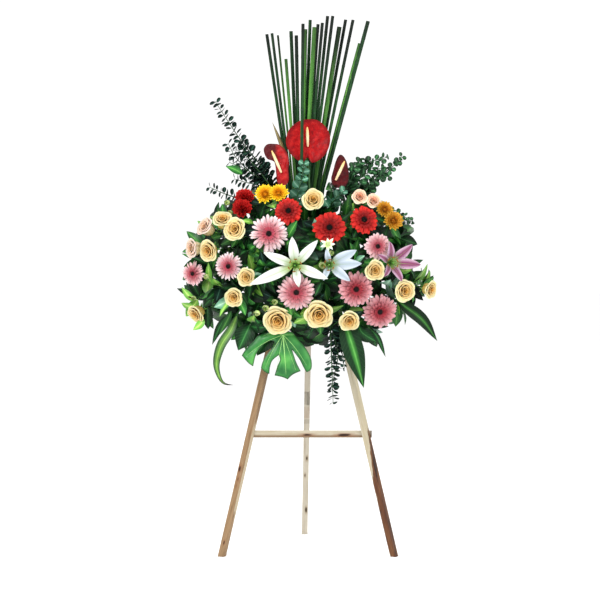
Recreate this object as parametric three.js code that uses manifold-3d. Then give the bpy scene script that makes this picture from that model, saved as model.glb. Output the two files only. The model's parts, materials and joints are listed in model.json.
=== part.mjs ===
// A standing funeral spray: a folding wooden tripod that carries a tray of wet floral foam, with
// horsetail reeds, anthuriums, gerberas, roses, lilies, eucalyptus and leaves pushed into the foam.
// Millimetres, +Z up, -Y is the front. The origin is on the floor, below the middle of the spray.
import * as THREE from "three";
import { mergeVertices } from "three/addons/utils/BufferGeometryUtils.js";
import Module from "manifold-3d";

const wasm = await Module();
wasm.setup();

// Stand
const APEX_HEIGHT = 1029; // where the lines of the two front legs would meet
const FRONT_FOOT_X = 238;
const FRONT_FOOT_Y = -200;
const REAR_FOOT = new THREE.Vector3(-10, 200, 0);
const LEG_SIDE = 17;
const REAR_LEG_SIDE = 17;
const REAR_TOP = 12.5; // how far the rear leg goes on above its bolt
const LEG_ROLL = THREE.MathUtils.degToRad(-25); // the front legs stand a little turned
const CROSSBAR = { height: 19, depth: 12, z: 333, left: -166, right: 178 };
const PIVOT = new THREE.Vector3(8, 22.7, 985);
const BRACKET_PLATE = 3;
const FIT_GAP = 0.3; // between pieces that touch
const WIDE = 400; // a cutter that is larger than whatever it cuts

// Foam and its tray, which lean back with the front legs
const LEAN = Math.atan2(-FRONT_FOOT_Y, APEX_HEIGHT);
const FOAM = { x: 220, y: 90, z: 200, base: 725 };
const TRAY_WALL = 3;
const TRAY_RIM = 22;
const PLUG_RADIUS = 8; // a gathered bunch of stems, where it enters the foam
const PLUG_DEPTH = 46;
const PLUG_COLLAR = 14;

// The dome that the blooms sit on
const DOME = { y: -70, z: 805, rx: 390, ry: 235, rz: 275 };
const DOME_BACK = 70; // how far behind its middle the leaves may reach
const DOME_SLACK = 1.05;

// Leaves on the stems of the blooms
const STEM_LEAF = { pitch: 17, shortest: 46, longest: 66, middle: 0.58, forward: 0.7 };
const STALK = 2; // half of a leaf stalk's thickness

const COLOURS = {
  wood: 0xd9b98a,
  bark: 0xb98f5f,
  steel: 0x9a9ca0,
  tray: 0x23402c,
  foam: 0x2f6b3d,
  stem: 0x2f6b2c,
  reed: 0x1f4a22,
  eucalyptus: 0x4f7a66,
  monstera: 0x1f7a33,
  red: 0xc4161c,
  darkRed: 0x8d0f18,
  pink: 0xf08a93,
  cream: 0xf6dfa0,
  yellow: 0xf2b822,
  white: 0xf2f5ea,
  stargazer: 0xb8487e,
};

const vec = (x, y, z) => new THREE.Vector3(x, y, z);
const UP = vec(0, 0, 1);
const FRONT = vec(0, -1, 0);
const spray = new THREE.Group();
const placed = []; // every finished solid so far, with its bounding box
const bunches = {}; // the solids that grow from each root in the foam
const missed = []; // whatever found no clear place
const CROSSING = 1e-4; // the least volume that counts as two solids crossing

// A repeatable draw between 0 and 1
let seed = 20441;
function draw() {
  seed = (seed * 1664525 + 1013904223) % 4294967296;
  return seed / 4294967296;
}
const between = (low, high) => low + (high - low) * draw();

// Solids

function solid(geometry, matrix) {
  const bare = geometry.clone();
  for (const name of Object.keys(bare.attributes)) {
    if (name !== "position") bare.deleteAttribute(name);
  }
  if (matrix) bare.applyMatrix4(matrix);
  const merged = mergeVertices(bare, 1e-3);
  return new wasm.Manifold(
    new wasm.Mesh({
      numProp: 3,
      vertProperties: merged.attributes.position.array,
      triVerts: new Uint32Array(merged.index.array),
    }),
  );
}

// Joins solids that grow from one another, and drops any scrap that ended up loose.
function fuse(solids) {
  const bodies = wasm.Manifold.union(solids).decompose();
  return bodies.reduce((best, body) => (body.volume() > best.volume() ? body : best));
}

function meets(a, b) {
  return [0, 1, 2].every((i) => a.min[i] <= b.max[i] && b.min[i] <= a.max[i]);
}

// True where a solid stays out of every other one, but for those of its own bunch.
function isClear(body, owner = "") {
  const box = body.boundingBox();
  const foreign = Object.keys(bunches).filter((name) => name !== owner);
  const others = placed.concat(...foreign.map((name) => bunches[name]));
  const near = others.filter((other) => meets(box, other.box));
  return near.every((other) => body.intersect(other.body).volume() < CROSSING);
}

function addNode(name, colour, body, roughness = 0.6) {
  const data = body.getMesh();
  const geometry = new THREE.BufferGeometry();
  geometry.setAttribute("position", new THREE.BufferAttribute(new Float32Array(data.vertProperties), 3));
  geometry.setIndex(new THREE.BufferAttribute(data.triVerts, 1));
  geometry.computeVertexNormals();
  const mesh = new THREE.Mesh(geometry, new THREE.MeshStandardMaterial({ color: colour, roughness }));
  mesh.name = name;
  spray.add(mesh);
  placed.push({ name, body, box: body.boundingBox() });
}

// Skins

function closed(points, faces) {
  const wedge = ([a, b, c]) => points[a].dot(points[b].clone().cross(points[c]));
  const volume = faces.reduce((sum, face) => sum + wedge(face), 0);
  const geometry = new THREE.BufferGeometry().setFromPoints(points);
  geometry.setIndex(faces.flatMap(([a, b, c]) => (volume < 0 ? [a, c, b] : [a, b, c])));
  return geometry;
}

// A skin over rings of points, all with the same count. A ring of one point makes a tip.
function skin(rings) {
  const points = rings.flat();
  const starts = [];
  rings.reduce((start, ring) => (starts.push(start), start + ring.length), 0);
  const faces = [];
  for (let k = 0; k + 1 < rings.length; k++) {
    const lower = rings[k].length;
    const upper = rings[k + 1].length;
    const count = Math.max(lower, upper);
    for (let j = 0; j < count; j++) {
      const next = (j + 1) % count;
      const a = starts[k] + (lower > 1 ? j : 0);
      const b = starts[k] + (lower > 1 ? next : 0);
      const c = starts[k + 1] + (upper > 1 ? j : 0);
      const d = starts[k + 1] + (upper > 1 ? next : 0);
      if (lower > 1) faces.push([a, b, d]);
      if (upper > 1) faces.push([a, d, c]);
    }
  }
  const last = rings.length - 1;
  const lid = starts[last];
  for (let j = 1; j + 1 < rings[0].length; j++) faces.push([0, j + 1, j]);
  for (let j = 1; j + 1 < rings[last].length; j++) faces.push([lid, lid + j, lid + j + 1]);
  return closed(points, faces);
}

function tangents(path) {
  return path.map((_, k) =>
    path[Math.min(k + 1, path.length - 1)].clone().sub(path[Math.max(k - 1, 0)]).normalize(),
  );
}

// Two directions square to a path at each of its points, carried along it without twisting
function frames(path) {
  const ways = tangents(path);
  let across = Math.abs(ways[0].z) > 0.9 ? vec(1, 0, 0) : UP.clone();
  return ways.map((tangent) => {
    across = across.clone().addScaledVector(tangent, -across.dot(tangent)).normalize();
    return { tangent, across, other: tangent.clone().cross(across) };
  });
}

// A round stem or reed along a path, with a radius at each point
function tube(path, radii, sides = 4) {
  const rings = frames(path).map(({ across, other }, k) =>
    Array.from({ length: sides }, (_, j) => {
      const turn = (2 * Math.PI * (j + 0.5)) / sides;
      const out = across.clone().multiplyScalar(Math.cos(turn)).addScaledVector(other, Math.sin(turn));
      return path[k].clone().addScaledVector(out, radii[k]);
    }),
  );
  return solid(skin(rings));
}

// A leaf or petal along a path. It is keeled along its middle, folds up at its edges and faces a given way.
function blade(path, halfWidths, facing, thickness = 1.6, fold = 0.15) {
  const rings = tangents(path).map((tangent, k) => {
    const width = halfWidths[k];
    if (width === 0) return [path[k]];
    const side = tangent.clone().cross(facing).normalize();
    const face = side.clone().cross(tangent).normalize();
    const rim = path[k].clone().addScaledVector(face, fold * width);
    const edge = (sign) => rim.clone().addScaledVector(side, sign * width);
    return [
      edge(-1),
      path[k].clone().addScaledVector(face, -thickness / 2),
      edge(1),
      path[k].clone().addScaledVector(face, thickness / 2),
    ];
  });
  return solid(skin(rings));
}

// A thin sheet from an outline, with rings of points inside it, lifted by a height at each point.
function sheet(outline, inner, thickness, height) {
  const rows = [1, ...inner, 0].map((share) =>
    share === 0 ? [new THREE.Vector2(0, 0)] : outline.map((p) => p.clone().multiplyScalar(share)),
  );
  const top = rows.flat().map((p) => vec(p.x, p.y, height(p.x, p.y) + thickness / 2));
  const bottom = top.map((p) => vec(p.x, p.y, p.z - thickness));
  const count = outline.length;
  const faces = [];
  for (let j = 0; j < count; j++) {
    const next = (j + 1) % count;
    const tris = [];
    for (let k = 0; k + 1 < rows.length; k++) {
      const a = k * count + j;
      const b = k * count + next;
      if (rows[k + 1].length === 1) tris.push([a, b, (k + 1) * count]);
      else tris.push([a, b, (k + 1) * count + next], [a, (k + 1) * count + next, (k + 1) * count + j]);
    }
    for (const [a, b, c] of tris) faces.push([a, b, c], [a + top.length, c + top.length, b + top.length]);
    faces.push([j, j + top.length, next + top.length], [j, next + top.length, next]);
  }
  return closed([...top, ...bottom], faces);
}

// A place for a piece, with the piece's own +Z along dir and its +Y as near to up as it can be
function facingMatrix(position, dir) {
  const z = dir.clone().normalize();
  const x = (Math.abs(z.z) > 0.97 ? vec(0, 1, 0) : UP).clone().cross(z).normalize();
  const y = z.clone().cross(x);
  return new THREE.Matrix4().makeBasis(x, y, z).setPosition(position);
}

function boxSolid(x, y, z, matrix) {
  return solid(new THREE.BoxGeometry(x, y, z), matrix);
}

// Stand

const leanFrame = new THREE.Matrix4().makeRotationX(-LEAN).setPosition(0, FRONT_FOOT_Y, 0);
const inLean = (x, y, z) => vec(x, y, z).applyMatrix4(leanFrame);

function beam(from, to, sideLength, roll) {
  const middle = from.clone().add(to).multiplyScalar(0.5);
  const along = to.clone().sub(from);
  const matrix = new THREE.Matrix4().makeBasis(
    FRONT.clone().cross(along).normalize(),
    along.clone().cross(FRONT.clone().cross(along)).normalize(),
    along.clone().normalize(),
  );
  matrix.setPosition(middle).multiply(new THREE.Matrix4().makeRotationZ(roll));
  return boxSolid(sideLength, sideLength, along.length(), matrix);
}

function buildStand() {
  const floor = boxSolid(2 * WIDE, 2 * WIDE, WIDE, new THREE.Matrix4().makeTranslation(0, 0, -WIDE / 2));
  const pastFloor = 0.04; // share of a leg that is cut off flat at the floor
  const crownDrop = 2; // the top of the legs is cut off flat this far below their meeting point
  const barNotch = 4; // how deep the bar and the rail are let into the legs
  const railNotch = 2;
  const barDepth = LEG_SIDE / 2 + CROSSBAR.depth / 2 - barNotch;
  const barMiddle = inLean(0, barDepth, CROSSBAR.z / Math.cos(LEAN));
  const barMatrix = new THREE.Matrix4()
    .makeRotationX(-LEAN)
    .setPosition((CROSSBAR.left + CROSSBAR.right) / 2, barMiddle.y, barMiddle.z);
  const barLength = CROSSBAR.right - CROSSBAR.left;
  const bar = (extra) =>
    boxSolid(barLength + extra, CROSSBAR.depth + extra, CROSSBAR.height + extra, barMatrix);

  // The shelf rail carries the foam tray on the front of the legs.
  const railSize = { x: 236, y: 34, z: 16 };
  const railTop = FOAM.base - TRAY_WALL - 2 * FIT_GAP;
  const railMiddle = inLean(0, railNotch - LEG_SIDE / 2 - railSize.y / 2, railTop - railSize.z / 2);
  const railMatrix = new THREE.Matrix4().makeRotationX(-LEAN).setPosition(railMiddle);
  const rail = (extra) => boxSolid(railSize.x + extra, railSize.y + extra, railSize.z + extra, railMatrix);

  // The rear leg's square top stops against this face when the stand is open.
  const rearUp = PIVOT.clone().sub(REAR_FOOT).normalize();
  const plateFace = PIVOT.y + REAR_TOP * rearUp.y - (REAR_LEG_SIDE / 2) * Math.abs(rearUp.z) - FIT_GAP;
  const plate = { x: 44, z: 36, raised: 10 };
  const ear = { reach: 24, z: 16 };
  const earX = REAR_LEG_SIDE / 2 + 0.5 + BRACKET_PLATE / 2;
  const plateBox = (extra) =>
    boxSolid(
      plate.x + extra,
      BRACKET_PLATE + extra,
      plate.z + extra,
      new THREE.Matrix4().makeTranslation(PIVOT.x, plateFace - BRACKET_PLATE / 2, PIVOT.z + plate.raised),
    );
  const recess = { x: plate.x + 40, y: 60, z: plate.z + 2 }; // cut out of the legs for the plate
  const recessY = plateFace - BRACKET_PLATE - FIT_GAP + recess.y / 2;
  const behindPlate = boxSolid(
    recess.x,
    recess.y,
    recess.z,
    new THREE.Matrix4().makeTranslation(PIVOT.x, recessY, PIVOT.z + plate.raised),
  );

  for (const [name, sign] of [["leg_left", -1], ["leg_right", 1]]) {
    const foot = vec(sign * FRONT_FOOT_X, FRONT_FOOT_Y, 0);
    const top = vec(0, 0, APEX_HEIGHT);
    const past = foot.clone().addScaledVector(top.clone().sub(foot), -pastFloor);
    const crown = top.clone().addScaledVector(top.clone().sub(foot), pastFloor / 2);
    const sideways = -sign * (WIDE / 2 - FIT_GAP / 2);
    const beside = new THREE.Matrix4().makeTranslation(sideways, 0, APEX_HEIGHT);
    const above = new THREE.Matrix4().makeTranslation(0, 0, APEX_HEIGHT - crownDrop + WIDE / 2);
    const leg = beam(past, crown, LEG_SIDE, LEG_ROLL)
      .subtract(floor)
      .subtract(boxSolid(WIDE, WIDE, WIDE, beside))
      .subtract(boxSolid(WIDE, WIDE, WIDE, above))
      .subtract(bar(2 * FIT_GAP))
      .subtract(rail(2 * FIT_GAP))
      .subtract(behindPlate);
    addNode(name, sign < 0 ? COLOURS.bark : COLOURS.wood, fuse([leg]), 0.8);
  }
  addNode("crossbar", COLOURS.wood, bar(0), 0.8);
  addNode("shelf_rail", COLOURS.wood, rail(0), 0.8);

  const bolt = { radius: 3, head: 6.5, headLength: 4, sides: 10 };
  const boltReach = earX + BRACKET_PLATE / 2 + FIT_GAP;
  const alongX = new THREE.Matrix4().makeRotationZ(Math.PI / 2);
  const bore = new THREE.CylinderGeometry(bolt.radius + FIT_GAP, bolt.radius + FIT_GAP, 80, bolt.sides);
  const hole = solid(bore, alongX).translate(PIVOT.toArray());
  const ears = [-1, 1].map((sign) =>
    boxSolid(
      BRACKET_PLATE,
      ear.reach + 1,
      ear.z,
      new THREE.Matrix4().makeTranslation(PIVOT.x + sign * earX, plateFace - 1 + ear.reach / 2, PIVOT.z),
    ),
  );
  addNode("hinge_bracket", COLOURS.steel, fuse([plateBox(0), ...ears]).subtract(hole), 0.4);

  const rearDown = REAR_FOOT.clone().sub(PIVOT);
  const rearPast = PIVOT.clone().addScaledVector(rearDown, 1 + pastFloor);
  const rearTop = PIVOT.clone().addScaledVector(rearUp, REAR_TOP);
  const rear = beam(rearPast, rearTop, REAR_LEG_SIDE, 0).subtract(floor).subtract(hole);
  addNode("leg_rear", COLOURS.wood, fuse([rear]), 0.8);

  const profile = [
    [0, -boltReach - bolt.headLength],
    [bolt.head, -boltReach - bolt.headLength],
    [bolt.head, -boltReach],
    [bolt.radius, -boltReach],
    [bolt.radius, boltReach],
    [bolt.head, boltReach],
    [bolt.head, boltReach + bolt.headLength],
    [0, boltReach + bolt.headLength],
  ].map(([r, y]) => new THREE.Vector2(r, y));
  const shank = solid(new THREE.LatheGeometry(profile, bolt.sides), alongX);
  addNode("pivot_bolt", COLOURS.steel, shank.translate(PIVOT.toArray()), 0.35);
}

// Foam tray

const trayBack = -(LEG_SIDE / 2) * (Math.cos(LEG_ROLL) - Math.sin(LEG_ROLL)) - FIT_GAP;
const foamBack = trayBack - TRAY_WALL - FIT_GAP;
const foamFront = foamBack - FOAM.y;

// A box round the middle of the foam's height, from a given y forward
function foamLevelBox(width, depth, height, back) {
  const middle = new THREE.Matrix4().makeTranslation(0, back - depth / 2, FOAM.base + FOAM.z / 2);
  return boxSolid(width, depth, height, leanFrame.clone().multiply(middle));
}

function buildTray() {
  const wall = TRAY_WALL + FIT_GAP;
  const past = TRAY_RIM + 20; // the inside is cut out past the rim
  const outside = foamLevelBox(FOAM.x + 2 * wall, TRAY_WALL + TRAY_RIM, FOAM.z + 2 * wall, trayBack);
  const inside = foamLevelBox(FOAM.x + 2 * FIT_GAP, past, FOAM.z + 2 * FIT_GAP, trayBack - TRAY_WALL);
  addNode("foam_tray", COLOURS.tray, outside.subtract(inside), 0.5);
}

// Every bunch enters the foam at a place on its skin. The places are x, depth from the foam's back, and
// height above its base, and each has the way that the bunch leaves.
const top = FOAM.z;
const side = FOAM.x / 2;
const ROOTS = {
  reeds_left: { at: [-46, 38, top], dir: [-0.12, 0.05, 1] },
  reeds_centre: { at: [-6, 38, top], dir: [0, 0.05, 1] },
  reeds_right: { at: [36, 38, top], dir: [0.12, 0.05, 1] },
  eucalyptus_left: { at: [-88, 38, top], dir: [-0.6, 0, 1] },
  eucalyptus_right: { at: [84, 38, top], dir: [0.6, -0.1, 1] },
  eucalyptus_centre: { at: [-30, 68, top], dir: [0, -0.4, 1] },
  eucalyptus_hanging: { at: [48, 56, 0], dir: [0.1, -0.4, -1] },
  monstera_leaf: { at: [-34, 60, 0], dir: [-0.1, -0.55, -1] },
  stems_top_left: { at: [-74, 68, top], dir: [-0.5, -0.5, 1] },
  stems_top: { at: [10, 68, top], dir: [0, -0.35, 1] },
  stems_top_right: { at: [64, 68, top], dir: [0.5, -0.5, 1] },
  stems_left: { at: [-side, 52, 150], dir: [-1, -0.5, 0.3] },
  stems_low_left: { at: [-side, 52, 62], dir: [-1, -0.5, -0.25] },
  stems_right: { at: [side, 52, 150], dir: [1, -0.5, 0.3] },
  stems_low_right: { at: [side, 52, 62], dir: [1, -0.5, -0.25] },
  stems_front: { at: [0, FOAM.y, 128], dir: [0, -1, 0.2] },
  stems_low: { at: [0, FOAM.y, 44], dir: [0, -1, -0.35] },
};

for (const root of Object.values(ROOTS)) {
  const [x, depth, height] = root.at;
  root.point = inLean(x, foamBack - depth, FOAM.base + height);
  root.dir = vec(...root.dir).normalize();
}

// The foot of a bunch, or with a gap the hole for it
function plug({ point, dir }, gap = 0) {
  const inner = point.clone().addScaledVector(dir, -PLUG_DEPTH - gap);
  const outer = point.clone().addScaledVector(dir, PLUG_COLLAR + 10 * gap);
  const radius = PLUG_RADIUS + 1.2 * gap;
  return tube([inner, outer], [radius, radius], 6);
}

function buildFoam() {
  const holes = Object.values(ROOTS).map((root) => plug(root, FIT_GAP));
  const block = foamLevelBox(FOAM.x, FOAM.y, FOAM.z, foamBack);
  addNode("foam_block", COLOURS.foam, fuse([block.subtract(wasm.Manifold.union(holes))]), 0.95);
}

// Flower heads. Each is made round its own +Z, and its flat seat is at z = 0.

// Two rings of petals on one hub, the upper ring turned by half a petal, with a round eye on top. Each ring
// has a hub radius, the heights of its lower and upper side, and a radius and height for its shoulders and
// for its tips.
function rosette(count, lower, upper, eye) {
  const points = [];
  const faces = [];
  const step = (2 * Math.PI) / count;
  const at = (r, turn, z) => points.push(vec(r * Math.cos(turn * step), r * Math.sin(turn * step), z)) - 1;
  const circle = (r, turn, z) => Array.from({ length: count }, (_, i) => at(r, i + turn, z));
  const band = (below, above, skew) => {
    for (let i = 0; i < count; i++) {
      const j = (i + 1) % count;
      faces.push([below[i], below[j], above[skew ? i : j]]);
      faces.push(skew ? [above[i], below[j], above[j]] : [below[i], above[j], above[i]]);
    }
  };
  const petals = (ring, turn, low) => {
    const high = circle(ring.hub, turn, ring.high);
    for (let i = 0; i < count; i++) {
      const j = (i + 1) % count;
      const left = at(ring.shoulder[0], i + turn + 0.1, ring.shoulder[1]);
      const end = at(ring.tip[0], i + turn + 0.5, ring.tip[1]);
      const right = at(ring.shoulder[0], i + turn + 0.9, ring.shoulder[1]);
      faces.push([high[i], left, end], [high[i], end, high[j]], [end, right, high[j]]);
      faces.push([low[i], end, left], [low[i], low[j], end], [end, low[j], right]);
      faces.push([left, high[i], low[i]], [high[j], right, low[j]]);
    }
    return high;
  };
  const seat = circle(lower.hub, 0, lower.low);
  for (let i = 1; i + 1 < count; i++) faces.push([seat[0], seat[i + 1], seat[i]]);
  const lowerTop = petals(lower, 0, seat);
  const upperLow = circle(upper.hub, 0.5, upper.low);
  band(lowerTop, upperLow, true);
  const upperTop = petals(upper, 0.5, upperLow);
  const crown = circle(eye[0], 0.5, eye[1]);
  band(upperTop, crown, false);
  for (let i = 1; i + 1 < count; i++) faces.push([crown[0], crown[i], crown[i + 1]]);
  return solid(closed(points, faces));
}

function gerbera(r) {
  const petals = 10;
  const outer = [0.8 * r, 0.15 * r];
  const lower = { hub: 0.27 * r, low: 0, high: 3.5, shoulder: outer, tip: [r, 0.11 * r] };
  const inner = [0.52 * r, 0.3 * r];
  const upper = { hub: 0.22 * r, low: 4.5, high: 8, shoulder: inner, tip: [0.68 * r, 0.33 * r] };
  return rosette(petals, lower, upper, [0.15 * r, 12]);
}

// Rims of overlapping petals, one inside another, with a valley between them. Each row is the radius and
// height of the petals' middles, then of the notches between them, all as shares of the head's radius.
function petalRims(head, petals, rows, peak) {
  const rings = rows.map(([r, z, notchR, notchZ]) =>
    Array.from({ length: 2 * petals }, (_, j) => {
      const angle = (Math.PI * j) / petals;
      const isNotch = j % 2 === 1;
      const radius = head * (isNotch ? notchR : r);
      return vec(radius * Math.cos(angle), radius * Math.sin(angle), head * (isNotch ? notchZ : z));
    }),
  );
  return solid(skin([...rings, [vec(0, 0, head * peak)]]));
}

function rose(r) {
  const rows = [
    [0.34, 0, 0.34, 0],
    [1, 0.6, 0.84, 0.5],
    [0.76, 0.56, 0.72, 0.56],
    [0.6, 0.78, 0.76, 0.88],
    [0.5, 0.74, 0.52, 0.74],
    [0.46, 1, 0.34, 0.9],
  ];
  return petalRims(r, 5, rows, 0.84);
}

function ruffled(r) {
  const rows = [
    [0.3, 0, 0.3, 0],
    [1, 0.34, 0.6, 0.3],
    [0.62, 0.46, 0.56, 0.44],
    [0.5, 0.56, 0.84, 0.64],
    [0.4, 0.62, 0.42, 0.62],
    [0.54, 0.88, 0.3, 0.74],
  ];
  return petalRims(r, 6, rows, 0.78);
}

// A lily's six tepals leave its throat, arch forward and turn back at their tips.
function lily(tepals, cup) {
  const parts = tepals.map(([degrees, length]) => {
    const angle = THREE.MathUtils.degToRad(degrees);
    const way = vec(Math.cos(angle), Math.sin(angle), 0);
    const out = (share, rise) => way.clone().multiplyScalar(length * share).setZ(rise);
    const path = [out(0.05, 3.5), out(0.45, cup), out(0.8, cup * 1.12), out(1, cup * 0.75)];
    return blade(path, [2.5, 0.17 * length, 0.13 * length, 0], UP, 2, -0.12);
  });
  const throat = tube([vec(0, 0, 0), vec(0, 0, 7)], [7, 9], 6);
  const stamens = Array.from({ length: 3 }, (_, i) => {
    const angle = 2.1 * i + 0.4;
    const way = vec(Math.cos(angle) * 0.35, Math.sin(angle) * 0.35, 1).normalize();
    return tube([way.clone().multiplyScalar(5), way.clone().multiplyScalar(cup + 16)], [1, 1.6], 3);
  });
  return fuse([throat, ...parts, ...stamens]);
}

// The dome gives a bloom its depth and the way it faces.
function onDome(x, z) {
  const inside = 1 - (x / DOME.rx) ** 2 - ((z - DOME.z) / DOME.rz) ** 2;
  const y = DOME.y - DOME.ry * Math.sqrt(Math.max(inside, 0.02));
  const normal = vec(x / DOME.rx ** 2, (y - DOME.y) / DOME.ry ** 2, (z - DOME.z) / DOME.rz ** 2);
  const dir = normal.normalize().multiplyScalar(0.6).addScaledVector(FRONT, 0.4);
  return { point: vec(x, y, z), dir: dir.normalize() };
}

// Name, bunch that holds it, shape, colour, and for each head its x, z and radius
const BLOOMS = [
  ["lilies_white", "stems_front", "lilyPair", "white", [[-35, 806, 100]]],
  ["lily_stargazer", "stems_right", "sideLily", "stargazer", [[228, 812, 70]]],
  ["gerbera_pink_1", "stems_left", "gerbera", "pink", [[-108, 894, 56]]],
  ["gerbera_pink_2", "stems_low_left", "gerbera", "pink", [[-220, 802, 41]]],
  ["gerbera_pink_3", "stems_low_left", "gerbera", "pink", [[-322, 780, 36]]],
  ["gerbera_pink_4", "stems_low", "gerbera", "pink", [[-32, 730, 54]]],
  ["gerbera_pink_5", "stems_low_right", "gerbera", "pink", [[133, 738, 51]]],
  ["gerbera_pink_6", "stems_low_right", "gerbera", "pink", [[201, 672, 51]]],
  ["gerbera_pink_7", "stems_right", "gerbera", "pink", [[192, 858, 39]]],
  ["gerbera_red_1", "stems_front", "gerbera", "red", [[59, 911, 48]]],
  ["gerbera_red_2", "stems_top_right", "gerbera", "red", [[155, 933, 42]]],
  ["gerbera_red_3", "stems_top_left", "gerbera", "red", [[-54, 957, 41]]],
  ["carnations_red", "stems_top_left", "ruffled", "darkRed", [[-182, 962, 30], [-176, 993, 29]]],
  ["chrysanthemums_left", "stems_top_left", "ruffled", "yellow", [[-118, 1000, 31], [-81, 1003, 29]]],
  ["chrysanthemums_right", "stems_top_right", "ruffled", "yellow", [[210, 958, 26], [234, 928, 30]]],
  ["rose_top", "stems_top", "rose", "cream", [[14, 982, 33]]],
  ["roses_left_high", "stems_left", "rose", "cream", [[-198, 903, 34], [-236, 914, 30], [-267, 898, 29]]],
  ["roses_left", "stems_left", "rose", "cream", [[-263, 850, 32], [-298, 852, 29]]],
  ["rose_left_1", "stems_low_left", "rose", "cream", [[-166, 774, 27]]],
  ["rose_left_2", "stems_low_left", "rose", "cream", [[-201, 719, 28]]],
  ["rose_left_3", "stems_low_left", "rose", "cream", [[-301, 677, 29]]],
  ["rose_front_1", "stems_low", "rose", "cream", [[-82, 657, 44]]],
  ["rose_front_2", "stems_low", "rose", "cream", [[30, 674, 42]]],
  ["rose_front_3", "stems_low", "rose", "cream", [[112, 655, 31]]],
  ["rose_right_1", "stems_right", "rose", "cream", [[181, 792, 30]]],
  ["rose_right_2", "stems_low_right", "rose", "cream", [[259, 734, 33]]],
  ["rose_right_3", "stems_low_right", "rose", "cream", [[325, 738, 26]]],
  ["roses_right_high", "stems_top_right", "rose", "cream", [[142, 993, 24], [180, 982, 23]]],
];

const lilyAt = (tepals, cup, x, y) => lily(tepals, cup).translate([x, y, 0]);
const SHAPES = {
  rose,
  gerbera,
  ruffled,
  lilyPair: () =>
    fuse([
      lilyAt([[158, 92], [96, 78], [48, 92], [-22, 96], [-80, 60], [203, 134]], 30, 0, 0),
      lilyAt([[28, 84], [2, 88], [-38, 72], [100, 44], [-110, 46]], 24, 92, 2),
    ]),
  sideLily: () => lily([[40, 78], [-4, 84], [-60, 60], [95, 58], [150, 46], [-120, 44]], 26),
};

const heads = []; // where each stem has to end, and the bunch it belongs to

// A bloom is pushed out of the dome, or into it, by the least that clears the blooms already there.
function settle(name, members, shape) {
  for (const offset of [0, 6, -6, 12, -12, 18, -18, 24, -24, 30, -30, 36, 42]) {
    const spots = members.map(([x, z, r]) => {
      const { point, dir } = onDome(x, z);
      return { seat: point.addScaledVector(dir, offset - 0.5 * Math.min(r, 50)), dir, r };
    });
    const body = wasm.Manifold.union(
      spots.map(({ seat, dir, r }) => SHAPES[shape](r).transform(facingMatrix(seat, dir).toArray())),
    );
    if (isClear(body)) return { body, spots };
  }
  throw new Error(name + " has no clear place");
}

function buildBlooms() {
  for (const [name, bunch, shape, colour, members] of BLOOMS) {
    const { body, spots } = settle(name, members, shape);
    addNode(name, COLOURS[colour], body);
    spots.forEach((spot, i) => heads.push({ ...spot, bunch, pairs: i === 0 ? 2 : 0 }));
  }
}

// Anthuriums: a heart-shaped sheet with its spadix. The outline is round the middle of the sheet, in its
// plane, and the spadix has its foot and its tip there.
const ANTHURIUMS = [
  {
    name: "centre",
    middle: [0, -100, 1148],
    facing: [0.06, -1, 0.12],
    outline: [
      [10, 60], [34, 52], [54, 30], [61, 2], [52, -30], [32, -52], [10, -61],
      [-2, -46], [-16, -60], [-40, -46], [-57, -22], [-61, 4], [-50, 34], [-22, 55],
    ],
    spadix: [[-1, -16], [-3, 37]],
    colour: "red",
  },
  {
    name: "left",
    middle: [-78, -124, 1086],
    facing: [-0.3, -1, 0.3],
    outline: [
      [-20, 54], [-39, 52], [-48, 36], [-38, 13], [-20, 6], [-14, -3], [-8, -31], [0, -59],
      [22, -67], [31, -53], [26, -20], [25, 3], [17, 31], [-3, 50],
    ],
    spadix: [[9, -30], [-20, 30]],
    colour: "red",
  },
  {
    name: "right",
    middle: [90, -120, 1061],
    facing: [0.3, -1, 0.15],
    outline: [
      [0, 48], [-11, 34], [-20, 6], [-28, -20], [-22, -39],
      [-6, -45], [11, -39], [22, -22], [23, 11], [14, 39],
    ],
    spadix: [[-17, -24], [7, 28]],
    colour: "darkRed",
  },
];

function buildAnthuriums() {
  for (const { name, middle, facing, outline, spadix, colour } of ANTHURIUMS) {
    const dir = vec(...facing).normalize();
    const matrix = facingMatrix(vec(...middle), dir);
    const cup = (x, y) => 0.0022 * (x * x + y * y);
    const spathe = sheet(outline.map(([x, y]) => new THREE.Vector2(x, y)), [0.5], 1.4, cup);
    addNode("anthurium_" + name, COLOURS[colour], solid(spathe, matrix), 0.25);
    const [foot, tip] = spadix;
    const spike = (lift) => {
      const from = vec(...foot, lift);
      const to = vec(...tip, lift + 15);
      const path = [0, 0.35, 0.8, 1].map((t) => from.clone().lerp(to, t).applyMatrix4(matrix));
      return tube(path, [2.6, 4, 3.6, 1.6], 6);
    };
    let lift = cup(foot[0], foot[1]) + 2;
    while (!isClear(spike(lift - FIT_GAP))) lift += 0.1; // it ends up on the sheet, but for the gap
    addNode("spadix_" + name, COLOURS.cream, spike(lift));
    const neck = foot.map((v) => v / 2);
    const seat = vec(...neck, cup(...neck) - 0.7).applyMatrix4(matrix);
    const way = dir.clone().addScaledVector(UP, 0.9).normalize();
    heads.push({ seat, dir: way, r: 60, bunch: "stems_top", pairs: 0 });
  }
}

// A solid joins a bunch if it crosses nothing outside the bunch.
function grow(owner, body) {
  if (!body || !isClear(body, owner)) return false;
  bunches[owner].push({ body, box: body.boundingBox() });
  return true;
}

function startBunches() {
  for (const [name, root] of Object.entries(ROOTS)) {
    const body = plug(root);
    bunches[name] = [{ body, box: body.boundingBox() }];
  }
}

const DETOURS = [[0, 0, 0]];
for (const reach of [18, 36, 60]) {
  for (const [x, y, z] of [[0, 1, 0], [0, -1, 0], [1, 0, 0], [-1, 0, 0], [0, 0, 1], [0, 0, -1]]) {
    DETOURS.push([x * reach, y * reach, z * reach], [x * reach, (y + 0.7) * reach, z * reach]);
  }
}

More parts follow.
